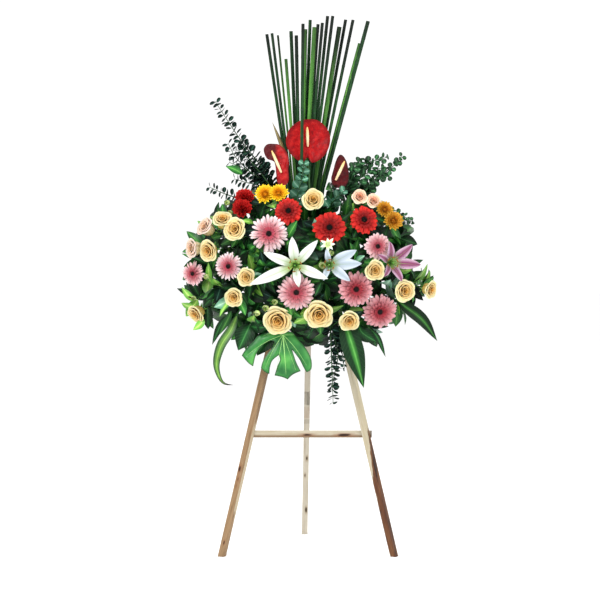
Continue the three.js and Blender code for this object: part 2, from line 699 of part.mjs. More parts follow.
// A way from a bunch's root to an end that it reaches along dir, led round whatever is in between.
function route(owner, end, dir, radius, lead = 24) {
  const { point, dir: out } = ROOTS[owner];
  const sideways = end.clone().sub(point);
  sideways.addScaledVector(out, -sideways.dot(out)).normalize();
  const start = point.clone().addScaledVector(out, 5).addScaledVector(sideways, PLUG_RADIUS - radius - 1.5);
  const leave = start.clone().addScaledVector(out, PLUG_COLLAR);
  const approach = end.clone().addScaledVector(dir, -lead);
  for (const apart of [true, false]) {
    for (const [x, y, z] of DETOURS) {
      const path = [start, leave];
      if (x !== 0 || y !== 0 || z !== 0) path.push(leave.clone().lerp(approach, 0.55).add(vec(x, y, z)));
      path.push(approach, end);
      if (apart && !isClear(tube(path.slice(1), path.slice(1).map(() => radius), 4))) continue;
      if (isClear(tube(path, path.map(() => radius), 4), owner)) return path;
    }
  }
  return null;
}

// A stem with pairs of leaves between its root and its neck. Each pair is a ring of the stem that is drawn
// out to both sides and forward. A pair that would cross another piece or leave the dome is made smaller, or
// left out.
function leafyStem(owner, path, radius, pairs) {
  const first = 1;
  const last = path.length - 2;
  const stations = path.map((point, k) => ({ point, at: k }));
  const span = new THREE.CurvePath();
  for (let k = first; k < last; k++) span.add(new THREE.LineCurve3(path[k], path[k + 1]));
  const length = span.getLength();
  const pitch = Math.min(STEM_LEAF.pitch, (0.9 * length) / (2 * pairs + 1));
  for (let i = 0; i <= 2 * pairs && pairs > 0; i++) {
    const t = STEM_LEAF.middle + ((i - pairs) * pitch) / length;
    const leaf = i % 2 === 1 ? (i + 1) / 2 : 0;
    stations.push({ point: span.getPointAt(t), at: first + t * (last - first), leaf });
  }
  stations.sort((one, two) => one.at - two.at);
  const line = stations.map((one) => one.point);
  const twist = between(0, Math.PI / 2);
  const around = frames(line).map(({ tangent, across, other }) => ({
    tangent,
    ways: [0, 1, 2, 3].map((j) => {
      const turn = twist + (j * Math.PI) / 2;
      return across.clone().multiplyScalar(Math.cos(turn)).addScaledVector(other, Math.sin(turn));
    }),
  }));
  const ring = (k, reach, axis) =>
    around[k].ways.map((way, j) => {
      const drawn = reach > 0 && j % 2 === axis;
      const out = line[k].clone().addScaledVector(way, drawn ? reach : radius);
      return drawn ? out.addScaledVector(around[k].tangent, STEM_LEAF.forward * reach) : out;
    });
  const rings = line.map((_, k) => ring(k, 0, 0));
  stations.forEach(({ leaf }, k) => {
    if (!leaf) return;
    const wanted = between(STEM_LEAF.shortest, STEM_LEAF.longest);
    for (const share of [1, 0.75, 0.5]) {
      for (const axis of [leaf % 2, (leaf + 1) % 2]) {
        const drawn = ring(k, wanted * share, axis);
        const tips = drawn.filter((_, j) => j % 2 === axis);
        if (rings[k].drawn || tips.some((tip) => !inDome(tip))) continue;
        if (!isClear(solid(skin([rings[k - 1], drawn, rings[k + 1]])))) continue;
        rings[k] = drawn;
        rings[k].drawn = true;
      }
    }
  });
  return grow(owner, solid(skin(rings)));
}

// Leafy stems without a bloom, which end below the skin of the dome: the bunch, and x and height of the end
const SPRIGS = [
  ["stems_front", -60, 880],
  ["stems_front", 40, 760],
  ["stems_front", -120, 800],
  ["stems_right", 130, 810],
  ["stems_left", -170, 850],
  ["stems_top_left", -150, 930],
  ["stems_top_right", 110, 950],
  ["stems_low", -60, 690],
  ["stems_low_left", -250, 740],
  ["stems_low_right", 250, 790],
];

function sprig(owner, x, z) {
  const { point, dir } = onDome(x, z);
  for (const depth of [34, 50, 24, 66]) {
    const path = route(owner, point.clone().addScaledVector(dir, -depth), dir, STALK, 30);
    if (path && leafyStem(owner, path, STALK, 2)) return;
  }
  missed.push(owner + " sprig at " + x + ", " + z);
}

function inDome({ x, y, z }) {
  const share = (x / DOME.rx) ** 2 + ((y - DOME.y) / DOME.ry) ** 2 + ((z - DOME.z) / DOME.rz) ** 2;
  return share < DOME_SLACK && y < DOME.y + DOME_BACK;
}

function buildStems() {
  for (const { seat, dir, r, bunch, pairs } of heads) {
    const radius = r > 35 ? 2.8 : 2.3;
    let done = false;
    for (const gap of [FIT_GAP, 0.6, 1, 2, 3, 5]) {
      for (const lead of [24, 10, 40]) {
        if (done) continue;
        const path = route(bunch, seat.clone().addScaledVector(dir, -gap), dir, radius, lead);
        if (path) done = leafyStem(bunch, path, radius, pairs);
      }
    }
    if (!done) missed.push(bunch + " head at " + seat.toArray().map(Math.round));
  }
}

// Horsetail reeds. For each one: the x and height of its tip, its depth there, and its radius.
const REEDS = {
  reeds_left: [
    [-116, 1450, -40, 4.5], [-101, 1450, -70, 4], [-85, 1448, -30, 3], [-62, 1378, -75, 4.5],
    [-48, 1459, -35, 5], [-33, 1445, -60, 5],
  ],
  reeds_centre: [
    [-14, 1470, -128, 4.5], [-8, 1463, -50, 6], [6, 1492, -20, 4.5], [18, 1467, -70, 6],
    [28, 1478, -40, 4.5], [40, 1478, -80, 4.5],
  ],
  reeds_right: [
    [55, 1501, -40, 4.5], [69, 1498, -70, 4.5], [88, 1470, -45, 6.5], [106, 1492, -25, 4.5],
    [126, 1488, -60, 4.5], [144, 1425, -35, 3.5], [168, 1484, -65, 5.5],
  ],
};
const REED_FORK = 1010; // the height where the reeds part

function buildReeds() {
  for (const [owner, reeds] of Object.entries(REEDS)) {
    const { point, dir } = ROOTS[owner];
    for (const [x, z, y, radius] of reeds) {
      for (const shift of [0, 10, -10, 20, -20, 30]) {
        const start = vec(point.x + 0.02 * x, point.y, point.z).addScaledVector(dir, 5);
        const fork = vec(0.32 * x - 14, 0.8 * (y + shift) - 13.2, REED_FORK);
        const path = [start, fork, vec(x, y + shift, z)];
        if (grow(owner, tube(path, [radius * 0.8, radius, radius], 4))) break;
        if (shift === 30) missed.push(owner + " reed " + x);
      }
    }
  }
}

function leafWidths(count, width) {
  return Array.from({ length: count }, (_, k) => {
    if (k === count - 1) return 0;
    return Math.max(2, width * Math.sin(Math.PI * Math.min((k / (count - 1)) ** 0.8, 0.98)));
  });
}

// Pairs of small round leaves along a stem, each pair a quarter turn from the last. The stem and its leaves
// are one skin: a leaf pair is a ring of the stem that is drawn out to both sides.
function frond(owner, pairs, size, depth, corners) {
  const points = corners.map((c) => vec(...c));
  const first = points[1].clone().sub(points[0]).normalize();
  const twig = 2.2;
  const stem = route(owner, points[0].clone().addScaledVector(first, 4), first, twig, 18);
  if (!stem || !leafyStem(owner, stem, twig, 0)) {
    missed.push(owner + " frond at " + corners[0]);
    return;
  }
  const line = new THREE.CatmullRomCurve3(points, false, "chordal");
  const ring = (t, wide, deep, rise) => {
    const tangent = line.getTangentAt(t);
    const across = tangent.clone().cross(FRONT).normalize();
    const other = across.clone().cross(tangent);
    const middle = line.getPointAt(t);
    const at = (way, reach) => middle.clone().addScaledVector(way, reach);
    const forward = (reach) => tangent.clone().multiplyScalar(reach > 3 || reach < -3 ? rise : 0);
    return [
      at(across, wide).add(forward(wide)),
      at(other, deep).add(forward(deep)),
      at(across, -wide).add(forward(wide)),
      at(other, -deep).add(forward(deep)),
    ];
  };
  const rings = [ring(0, 3.2, 3.2, 0)];
  const total = line.getLength();
  for (let i = 0; i < pairs; i++) {
    const t = 0.07 + (0.87 * i) / (pairs - 1);
    const length = size * (1.1 - 0.5 * t) * between(0.85, 1.15);
    const half = Math.min(depth, (0.4 * total) / pairs, 0.05 * total) / total;
    const leaf = i % 2 === 0 ? [length, 1.3] : [1.3, length];
    const trio = [ring(t - half, 1.7, 1.7, 0), ring(t, ...leaf, 0.3 * length), ring(t + half, 1.5, 1.5, 0)];
    if (isClear(solid(skin(trio)))) rings.push(...trio);
  }
  rings.push([line.getPointAt(1)]);
  if (!grow(owner, solid(skin(rings)))) missed.push(owner + " leaves at " + corners[0]);
}

// The split leaf hangs below the front. Its outline is round the middle of the blade.
const SPLIT_LEAF = {
  middle: [-66, -232, 585],
  facing: [0.05, -1, 0.25],
  outline: [
    [16, 35], [-25, 34], [-62, 27], [-95, 11], [-123, -14], [-112, -36], [-90, -56], [-28, -22],
    [-67, -64], [-53, -81], [-39, -76], [-12.6, -31], [-28, -78], [8, -92], [42, -78], [17.3, -29],
    [53, -76], [73, -56],
    [28.5, -18], [81, -39], [79, -8], [60, 20],
  ],
};

function buildSplitLeaf() {
  const { middle, facing, outline } = SPLIT_LEAF;
  const dir = vec(...facing).normalize();
  const matrix = facingMatrix(vec(...middle), dir);
  const arch = (x, y) => -0.0016 * x * x - 0.0012 * (y < 0 ? y * y : 0);
  const leaf = solid(sheet(outline.map(([x, y]) => new THREE.Vector2(x, y)), [0.55], 1.4, arch), matrix);
  if (!grow("monstera_leaf", leaf)) missed.push("split leaf");
  const join = vec(4, 24, -1).applyMatrix4(matrix);
  const stalk = route("monstera_leaf", join, dir, 2.6, 18);
  if (!stalk || !leafyStem("monstera_leaf", stalk, 2.6, 0)) missed.push("split leaf stalk");
}

// Single leaves: the bunch, half the width, the way that the leaf faces, and its middle from stalk to tip
const SINGLE_LEAVES = [
  ["stems_low", 29, [-0.3, -1, 0.3],
    [[96, -212, 662], [110, -228, 620], [130, -236, 555], [153, -225, 468]]],
  ["stems_low_right", 17, [-0.3, -1, 0.5],
    [[246, -180, 706], [268, -194, 690], [316, -192, 652], [357, -178, 594]]],
  ["stems_low_right", 7, [0.2, -1, 0.2], [[168, -185, 632], [192, -195, 604], [214, -185, 550]]],
  ["stems_low_right", 20, [0.2, -1, 0.2], [[140, -190, 640], [150, -200, 618], [190, -196, 592]]],
  ["stems_low_left", 14, [-0.2, -1, 0.1],
    [[-196, -186, 665], [-212, -198, 626], [-240, -204, 580],
      [-252, -205, 540], [-243, -205, 500], [-212, -204, 472]]],
  ["stems_low_left", 27, [-0.2, -1, 0], [[-160, -196, 640], [-170, -206, 618], [-192, -208, 570]]],
  ["stems_low", 26, [-0.2, -1, 0.3], [[-104, -210, 626], [-116, -222, 600], [-140, -222, 556]]],
  ["stems_low_left", 11, [-0.2, -1, 0.6], [[-300, -140, 712], [-325, -136, 722], [-366, -122, 738]]],
  ["stems_left", 10, [-0.2, -1, 0.6], [[-262, -146, 802], [-290, -140, 812], [-326, -128, 826]]],
  ["stems_left", 8, [-0.2, -1, 0.6], [[-292, -120, 818], [-318, -108, 824], [-354, -95, 834]]],
  ["stems_left", 9, [-0.2, -1, 0.4], [[-236, -150, 900], [-256, -142, 916], [-284, -134, 936]]],
  ["stems_right", 9, [0.3, -1, 0.4], [[268, -160, 802], [290, -154, 808], [320, -146, 818]]],
  ["stems_right", 8, [0.3, -1, 0.4], [[250, -160, 880], [266, -154, 886], [288, -146, 892]]],
  ["stems_low_left", 9, [0, -1, 0.3], [[-212, -168, 676], [-224, -166, 650], [-246, -162, 610]]],
  ["stems_low_left", 9, [0, -1, 0.3], [[-226, -160, 662], [-244, -158, 634], [-266, -156, 582]]],
  ["stems_low_left", 9, [0, -1, 0.3], [[-200, -168, 662], [-206, -166, 640], [-222, -160, 600]]],
];

function growLeaf(owner, width, facing, corners) {
  for (const shift of [0, 8, -8, 16, -16, 24, 36]) {
    const path = corners.map(([x, y, z]) => vec(x, y + shift, z));
    const dir = path[1].clone().sub(path[0]).normalize();
    const leaf = blade(path, leafWidths(path.length, width), vec(...facing).normalize());
    if (!isClear(leaf, owner)) continue;
    const stalk = route(owner, path[0].clone().addScaledVector(dir, 5), dir, STALK, 14);
    if (stalk) return leafyStem(owner, stalk, STALK, 0) && grow(owner, leaf);
  }
  missed.push(owner + " leaf at " + corners[0]);
  return false;
}

// Eucalyptus: root, number of leaf pairs, length of a leaf, half of its width, and the stem's middle line
const FRONDS = [
  ["eucalyptus_left", 14, 20, 4,
    [[-84, -84, 1005], [-118, -82, 1062], [-158, -82, 1112], [-196, -80, 1162], [-261, -78, 1261]]],
  ["eucalyptus_left", 8, 21, 8,
    [[-112, -56, 1005], [-163, -52, 1063], [-202, -46, 1102], [-226, -40, 1145]]],
  ["eucalyptus_left", 6, 19, 8, [[-170, -80, 978], [-200, -78, 990], [-240, -76, 1004], [-276, -74, 1020]]],
  ["eucalyptus_right", 8, 23, 9, [[100, -84, 1005], [128, -72, 1050], [160, -62, 1086], [222, -54, 1104]]],
  ["eucalyptus_right", 6, 20, 8, [[150, -56, 1000], [196, -56, 1046], [240, -56, 1080], [264, -56, 1106]]],
  ["eucalyptus_right", 6, 18, 8, [[180, -70, 965], [232, -74, 952], [266, -80, 940], [292, -84, 922]]],
  ["eucalyptus_centre", 7, 23, 8,
    [[-34, -130, 968], [-26, -140, 1010], [-16, -142, 1050], [-12, -138, 1084]]],
  ["eucalyptus_centre", 5, 22, 8, [[58, -130, 960], [74, -150, 985], [96, -160, 1006]]],
  ["eucalyptus_hanging", 11, 17, 4, [[60, -196, 660], [63, -212, 590], [66, -216, 510], [69, -214, 424]]],
  ["eucalyptus_hanging", 4, 14, 5, [[84, -190, 600], [94, -204, 560], [100, -212, 520]]],
];

const BUNCH_COLOURS = { reeds: "reed", eucalyptus: "eucalyptus", monstera: "monstera", stems: "stem" };

startBunches();
buildStand();
buildTray();
buildFoam();
buildBlooms();
buildAnthuriums();
buildReeds();
buildSplitLeaf();
for (const one of SINGLE_LEAVES) growLeaf(...one);
for (const one of FRONDS) frond(...one);
buildStems();
for (const [owner, x, z] of SPRIGS) sprig(owner, x, z);
for (const [name, solids] of Object.entries(bunches)) {
  addNode(name, COLOURS[BUNCH_COLOURS[name.split("_")[0]]], fuse(solids.map((one) => one.body)), 0.6);
}

// The origin goes on the floor, below the middle of everything.
const bounds = new THREE.Box3().setFromObject(spray);
const centre = bounds.getCenter(new THREE.Vector3());
for (const mesh of spray.children) mesh.geometry.translate(-centre.x, -centre.y, 0);
if (missed.length > 0) throw new Error("Nowhere clear for " + missed.join("; "));

export default spray;
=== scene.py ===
# %% [markdown]
# # A standing funeral spray
# The object is a folding wooden tripod that carries a tray of wet foam. Flowers, reeds and leaves are pushed
# into the foam, so that they fan out into a dome. The wooden stand, the tray and the foam come ready from the
# CAD model and only need their finish. Every flower and leaf is made here again, petal by petal, in the place
# where the model has a plain stand-in for it.

import json
import math

import bpy
import numpy as np
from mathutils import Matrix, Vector
from mathutils.bvhtree import BVHTree
from mathutils.kdtree import KDTree


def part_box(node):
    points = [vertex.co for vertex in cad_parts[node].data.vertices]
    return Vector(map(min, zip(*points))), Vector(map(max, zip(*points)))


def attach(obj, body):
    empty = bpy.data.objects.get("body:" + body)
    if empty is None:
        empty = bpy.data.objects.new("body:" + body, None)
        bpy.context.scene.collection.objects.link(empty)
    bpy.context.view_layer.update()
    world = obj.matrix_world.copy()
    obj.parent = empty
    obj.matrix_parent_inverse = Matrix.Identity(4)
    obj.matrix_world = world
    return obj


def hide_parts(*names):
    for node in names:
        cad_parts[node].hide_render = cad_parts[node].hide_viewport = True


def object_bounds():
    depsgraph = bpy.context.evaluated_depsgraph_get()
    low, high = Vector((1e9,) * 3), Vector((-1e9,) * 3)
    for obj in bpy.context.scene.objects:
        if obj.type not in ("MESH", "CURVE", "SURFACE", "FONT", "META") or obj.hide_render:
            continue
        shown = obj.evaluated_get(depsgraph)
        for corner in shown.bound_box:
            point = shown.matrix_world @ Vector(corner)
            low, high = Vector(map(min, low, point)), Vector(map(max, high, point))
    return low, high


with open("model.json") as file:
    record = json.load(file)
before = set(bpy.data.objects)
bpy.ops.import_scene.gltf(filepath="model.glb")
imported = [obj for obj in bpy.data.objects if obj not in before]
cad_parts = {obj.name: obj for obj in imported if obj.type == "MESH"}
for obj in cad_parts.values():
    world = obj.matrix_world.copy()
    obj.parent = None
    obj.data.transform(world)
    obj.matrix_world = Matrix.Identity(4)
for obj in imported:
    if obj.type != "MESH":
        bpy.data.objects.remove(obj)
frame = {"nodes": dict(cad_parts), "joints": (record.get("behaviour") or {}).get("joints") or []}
CAD_BOX = [list(corner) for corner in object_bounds()]
print(len(frame["nodes"]), "pieces in the model, from", CAD_BOX[0], "to", CAD_BOX[1])

# %% [markdown]
# ## Where things are
# A florist's plan is easiest in millimetres, with its origin between the feet of the stand. The model has its
# origin below the middle of the whole spray instead. The bolt of the rear leg is a point that is known in
# both, so the difference between its two places carries every other point across.

# %% Plan and model
MM = 0.001
BOLT_IN_PLAN = np.array([8, 22.7, 985])
BOLT = np.array(frame["joints"][0]["pos_m"])
SHIFT = BOLT - BOLT_IN_PLAN * MM
UP = np.array([0.0, 0.0, 1.0])
FRONT = np.array([0.0, -1.0, 0.0])
STAND = "stand_and_flowers"


def plan(x, y, z):
    return np.array([x, y, z]) * MM + SHIFT


def unit(v):
    return np.asarray(v, float) / np.linalg.norm(v)


def dice(name):
    """A repeatable source of chance for each piece."""
    return np.random.default_rng(sum(ord(letter) * (i + 1) for i, letter in enumerate(name)))


print("the plan's origin lies at", (plan(0, 0, 0) / MM).round(1), "mm")

# %% [markdown]
# ## Camera
# The spray was seen from about five and a half metres away, a little under the height of its foam, through a
# long lens. A camera at that distance keeps the proportions of the stand. It is turned a little instead of
# shifted, so that other views stay centred.

# %% Camera
CAMERA_DISTANCE = 5.69
CAMERA_HEIGHT = 0.93
LENS = 120
LOOK_DOWN = math.radians(2.31)
LOOK_ASIDE = math.radians(0.23)

camera = bpy.data.objects.new("camera", bpy.data.cameras.new("camera"))
bpy.context.scene.collection.objects.link(camera)
camera.data.lens = LENS
camera.data.sensor_width = 36
camera.location = plan(0, 0, 0) + np.array([0, -CAMERA_DISTANCE, CAMERA_HEIGHT])
look = Vector((-math.sin(LOOK_ASIDE), math.cos(LOOK_ASIDE), -math.tan(LOOK_DOWN)))
camera.rotation_euler = look.to_track_quat("-Z", "Y").to_euler()
camera.data.clip_end = 100
bpy.context.scene.camera = camera
print("camera at", [round(v, 3) for v in camera.location])

# %% [markdown]
# ## Paint
# Each finish is a small tree of nodes. Petals and leaves carry two maps. The first runs across and along each
# petal, so a colour can change from its foot to its tip. The second holds two numbers for a whole petal: one
# drawn by chance, so that no two are alike, and one that says which ring it is in. A short class keeps the
# making and joining of nodes readable.

# %% Paint helper
class Paint:
    """A material that is built up by short calls. Each call returns the socket that it made."""

    def __init__(self, name, roughness=0.5, **fixed):
        self.material = bpy.data.materials.new(name)
        self.material.use_nodes = True
        self.nodes = self.material.node_tree.nodes
        self.links = self.material.node_tree.links
        self.shader = self.nodes["Principled BSDF"]
        self.shader.inputs["Roughness"].default_value = roughness
        for socket, value in fixed.items():
            self.shader.inputs[socket.replace("_", " ")].default_value = value

    def node(self, kind, inputs=(), **settings):
        made = self.nodes.new("ShaderNode" + kind)
        for key, value in settings.items():
            setattr(made, key, value)
        for key, value in dict(inputs).items():
            if isinstance(value, bpy.types.NodeSocket):
                self.links.new(value, made.inputs[key])
            else:
                made.inputs[key].default_value = value
        return made

    def maps(self, layer):
        split = self.node("SeparateXYZ", {0: self.node("UVMap", uv_map=layer).outputs[0]})
        return split.outputs[0], split.outputs[1]

    def place(self, turn=(0, 0, 0), size=(1, 1, 1)):
        where = self.node("TexCoord").outputs["Object"]
        return self.node("Mapping", {0: where, 2: turn, 3: size}, vector_type="TEXTURE").outputs[0]

    def join(self, x, y, z=0.0):
        return self.node("CombineXYZ", {0: x, 1: y, 2: z}).outputs[0]

    def maths(self, work, a, b=0.0):
        return self.node("Math", {0: a, 1: b}, operation=work).outputs[0]

    def noise(self, vector, scale=1.0, detail=3.0, rough=0.5):
        made = self.node("TexNoise", {"Vector": vector, "Scale": scale, "Detail": detail, "Roughness": rough})
        return made.outputs["Fac"]

    def ramp(self, factor, stops, smooth="LINEAR"):
        made = self.node("ValToRGB", {0: factor})
        made.color_ramp.interpolation = smooth
        band = made.color_ramp.elements
        while len(band) < len(stops):
            band.new(0.5)
        for stop, (at, colour) in zip(band, stops):
            stop.position = at
            stop.color = (*colour, 1.0)
        return made.outputs[0]

    def level(self, factor, low, high, to_low=0.0, to_high=1.0):
        made = self.node("MapRange", {0: factor, 1: low, 2: high, 3: to_low, 4: to_high})
        made.clamp = True
        return made.outputs[0]

    def mix(self, factor, a, b, mode="MIX"):
        made = self.node("Mix", data_type="RGBA", blend_type=mode)
        for socket, value in ((made.inputs[0], factor), (made.inputs[6], a), (made.inputs[7], b)):
            if isinstance(value, bpy.types.NodeSocket):
                self.links.new(value, socket)
            elif isinstance(value, tuple):
                socket.default_value = (*value, 1.0)
            else:
                socket.default_value = value
        return made.outputs[2]

    def colour(self, socket):
        self.links.new(socket, self.shader.inputs["Base Color"])

    def rough(self, socket):
        self.links.new(socket, self.shader.inputs["Roughness"])

    def bump(self, height, distance, strength=1.0):
        made = self.node("Bump", {"Height": height, "Distance": distance, "Strength": strength})
        self.links.new(made.outputs[0], self.shader.inputs["Normal"])


def from_hex(code):
    """A paint colour as Blender's linear numbers, from the usual six-digit form."""
    parts = [int(code[i : i + 2], 16) / 255 for i in (0, 2, 4)]
    return tuple(v / 12.92 if v <= 0.04045 else ((v + 0.055) / 1.055) ** 2.4 for v in parts)


# %% [markdown]
# ## Gathering petals into a mesh
# A petal or leaf is a small grid of points, and a stem is a grid that is closed round. A flower has dozens of
# them, so they are gathered in one pile and made into one mesh at the end. That is far quicker than making an
# object for each petal and joining them.

# %% Pile
class Pile:
    """Grids of points that become one mesh."""

    def __init__(self):
        self.points, self.quads, self.ways, self.tones, self.slots = [], [], [], [], []
        self.count = 0

    def add(self, grid, tone=(0.5, 0.5), slot=0, closed=False):
        rows, columns = grid.shape[:2]
        index = np.arange(rows * columns).reshape(rows, columns) + self.count
        if closed:
            index = np.column_stack([index, index[:, :1]])
        quads = np.stack([index[:-1, :-1], index[:-1, 1:], index[1:, 1:], index[1:, :-1]], -1).reshape(-1, 4)
        across, along = np.meshgrid(np.linspace(0, 1, index.shape[1]), np.linspace(0, 1, rows))
        way = np.stack([across, along], -1)
        corners = np.stack([way[:-1, :-1], way[:-1, 1:], way[1:, 1:], way[1:, :-1]], 2)
        self.keep(grid.reshape(-1, 3), quads, corners.reshape(-1, 2), tone, slot)

    def keep(self, points, quads, corners, tone, slot):
        self.points.append(points)
        self.quads.append(quads)
        self.ways.append(corners)
        self.tones.append(np.tile(tone, (len(quads) * 4, 1)))
        self.slots.append(np.full(len(quads), slot))
        self.count += len(points)

    def solid(self):
        """The points and faces so far, for asking what is near or in the way."""
        return np.concatenate(self.points), np.concatenate(self.quads)

    def make(self, name, nodes, finish, paints, body=STAND):
        points, quads = self.solid()
        mesh = bpy.data.meshes.new(name)
        mesh.from_pydata(points.tolist(), [], quads.tolist())
        for layer, values in (("petal", self.ways), ("tone", self.tones)):
            made = mesh.uv_layers.new(name=layer)
            made.data.foreach_set("uv", np.concatenate(values).astype(np.float32).ravel())
        mesh.polygons.foreach_set("material_index", np.concatenate(self.slots).astype(np.int32))
        mesh.shade_smooth()
        for paint in paints:
            mesh.materials.append(paint.material)
        piece = bpy.data.objects.new(name, mesh)
        bpy.context.scene.collection.objects.link(piece)
        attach(piece, body)
        if nodes:
            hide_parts(*nodes)
        return piece


# %% [markdown]
# ## Paths, stems and leaves
# Stems and leaves both follow a path. A stem is a ring of points carried along it, and a leaf is a row of
# points laid across it, folded up a little along its middle. The path goes smoothly through a few corners.

# %% Paths
def curve_between(a, b, c, d, t):
    """Points on a smooth line from b to c, which comes from a and goes on to d."""
    bend, twist = 2 * a - 5 * b + 4 * c - d, 3 * b - a - 3 * c + d
    return 0.5 * (2 * b + (c - a) * t + bend * t**2 + twist * t**3)


def smooth_path(corners, count):
    """Evenly spaced points on a smooth line through the corners."""
    corners = np.asarray(corners, float)
    if len(corners) == 2:
        return corners[0] + np.linspace(0, 1, count)[:, None] * (corners[1] - corners[0])
    ends = np.vstack([2 * corners[0] - corners[1], corners, 2 * corners[-1] - corners[-2]])
    t = np.linspace(0, 1, 12, endpoint=False)[:, None]
    parts = []
    for a, b, c, d in zip(ends, ends[1:], ends[2:], ends[3:]):
        parts.append(curve_between(a, b, c, d, t))
    line = np.vstack([*parts, corners[-1:]])
    reach = np.concatenate([[0], np.cumsum(np.linalg.norm(np.diff(line, axis=0), axis=1))])
    even = np.linspace(0, reach[-1], count)
    return np.column_stack([np.interp(even, reach, line[:, i]) for i in range(3)])


def ways_along(path):
    ways = np.gradient(path, axis=0)
    return ways / np.linalg.norm(ways, axis=1, keepdims=True)


def stem(path, radii, sides=8, ribs=0.0):
    """A closed round grid along a path. Ribs make it fluted."""
    ways = ways_along(path)
    across = np.array([1.0, 0, 0]) if abs(ways[0][2]) > 0.9 else UP
    turns = np.linspace(0, 2 * np.pi, sides, endpoint=False)
    swell = 1 + ribs * (np.arange(sides) % 2)
    rings = []
    for point, way, radius in zip(path, ways, np.broadcast_to(radii, len(path))):
        across = unit(across - way * across.dot(way))
        other = np.cross(way, across)
        ring = np.cos(turns)[:, None] * across + np.sin(turns)[:, None] * other
        rings.append(point + ring * (radius * swell)[:, None])
    return np.array(rings)


def leaf(path, half_widths, facing, columns=7, fold=0.15, wave=0.0, groove=0.0):
    """A leaf or petal along a path. It folds up towards its edges, which may be wavy."""
    ways = ways_along(path)
    s = np.linspace(-1, 1, columns)
    side = np.cross(ways, facing)
    side /= np.linalg.norm(side, axis=1, keepdims=True)
    face = np.cross(side, ways)
    width = np.asarray(half_widths)[:, None]
    ripple = wave * np.sin(np.linspace(0, 15, len(path)))[:, None] * np.sign(s) * np.abs(s) ** 3
    rise = width * (fold * np.abs(s) ** 1.6 + ripple) - groove * width * np.maximum(0, 1 - np.abs(s) * 4)
    return path[:, None] + (width * s)[..., None] * side[:, None] + rise[..., None] * face[:, None]


# %% [markdown]
# ## The stand
# The stand is sawn softwood, left bare. Its grain runs along each lath, so the pattern is turned to the lath's
# own line before it is stretched. The age rings show as fine lines, and broad clouds make one stretch of a lath
# browner than the next.

# %% Wood
class Wood(Paint):
    """Bare softwood with its grain along one piece of the stand. Each call adds to what is there."""

    def __init__(self, name, node, pale, tan):
        super().__init__(name, roughness=0.62, Specular_IOR_Level=0.25)
        points = np.array([v.co[:] for v in frame["nodes"][node].data.vertices])
        self.middle = points.mean(0)
        line = np.linalg.svd(points - self.middle, full_matrices=False)[2][0]
        self.line = line * np.sign(line[np.abs(line).argmax()])
        self.turn = tuple(Vector(self.line).to_track_quat("Z", "Y").to_euler())
        self.where = self.node("TexCoord").outputs["Object"]
        split = self.node("SeparateXYZ", {0: self.where})
        self.side, self.height = split.outputs[0], split.outputs[2]
        self.rings = self.noise(self.place(self.turn, (1, 1, 14)), 150.0, 4.0, 0.6)
        self.torn = self.maths("SUBTRACT", self.noise(self.place(self.turn, (1, 1, 6)), 60.0, 5.0, 0.65), 0.5)
        broad = self.noise(self.place(self.turn, (1, 1, 5)), 30.0, 3.0)
        self.surface = self.ramp(self.rings, [(0.3, tan), (0.52, pale), (0.8, tan)])
        self.cover(self.level(broad, 0.42, 0.66, 0.0, 0.6), tan)
        print(name, "runs along", self.line.round(2))

    def cover(self, share, colour):
        self.surface = self.mix(share, self.surface, colour)

    def done(self):
        self.colour(self.surface)
        self.rough(self.level(self.rings, 0.2, 0.8, 0.5, 0.75))
        self.bump(self.rings, 0.0006, 0.6)
        return self


# %% [markdown]
# ## Knots, bark and stains
# A knot is where a branch grew: a dark core, and a reddish ring that the grain bends round. It is longer along
# the grain than across it. One leg was cut from the edge of the log, so its outer side keeps the dark bark,
# which gets wider towards the foot. Each of these covers the bare wood where a distance is small enough.

# %% Knots, bark and stains
def knot(paint, spot, size, core="2a1409", ring="7a4a2a", drawn=2.6):
    """A dark core and a reddish ring around a point on the surface, drawn out along the grain."""
    reach = (size, size, size * drawn)
    around = {0: paint.where, 1: tuple(spot), 2: paint.turn, 3: reach}
    near = paint.node("Mapping", around, vector_type="TEXTURE")
    far = paint.node("VectorMath", {0: near.outputs[0]}, operation="LENGTH").outputs["Value"]
    far = paint.maths("ADD", far, paint.maths("MULTIPLY", paint.torn, 2.2))
    paint.cover(paint.level(far, 1.5, 0.6, 0.0, 0.6), from_hex(ring))
    paint.cover(paint.level(far, 0.75, 0.4), from_hex(core))


def bark(paint, top, low, inner, outer):
    """Bark from a height down to another, where its edge has moved across the leg from outer to inner."""
    slope = float(paint.line[0] / paint.line[2])
    start = float(paint.middle[0] - paint.middle[2] * slope)
    centre = paint.maths("ADD", paint.maths("MULTIPLY", paint.height, slope), start)
    across = paint.maths("SUBTRACT", paint.side, centre)
    across = paint.maths("ADD", across, paint.maths("MULTIPLY", paint.torn, 0.02))
    edge = paint.level(paint.height, low, top, inner, outer)
    share = paint.level(paint.maths("SUBTRACT", across, edge), 0.0, 0.002)
    crust = [(0.3, from_hex("3c2012")), (0.5, from_hex("5c3822")), (0.75, from_hex("84603c"))]
    paint.cover(share, paint.ramp(paint.rings, crust))
    cracks = paint.maths("MULTIPLY", share, paint.level(paint.torn, 0.03, 0.1, 0.0, 0.8))
    paint.cover(cracks, from_hex("1e110a"))


def span(paint, up, low, high, share, soft):
    """A share between two heights, which fades out over a soft edge."""
    rising = paint.level(up, low - soft, low)
    return paint.maths("MULTIPLY", rising, paint.level(up, high + soft, high, 0.0, share))


def band(paint, low, high, share, colour):
    """A stain between two heights, with a ragged edge."""
    up = paint.maths("ADD", paint.height, paint.maths("MULTIPLY", paint.torn, 0.012))
    share = span(paint, up, low, high, share, 0.002)
    share = paint.maths("MULTIPLY", share, paint.level(paint.torn, -0.1, 0.1, 0.35, 1.0))
    paint.cover(share, from_hex(colour))


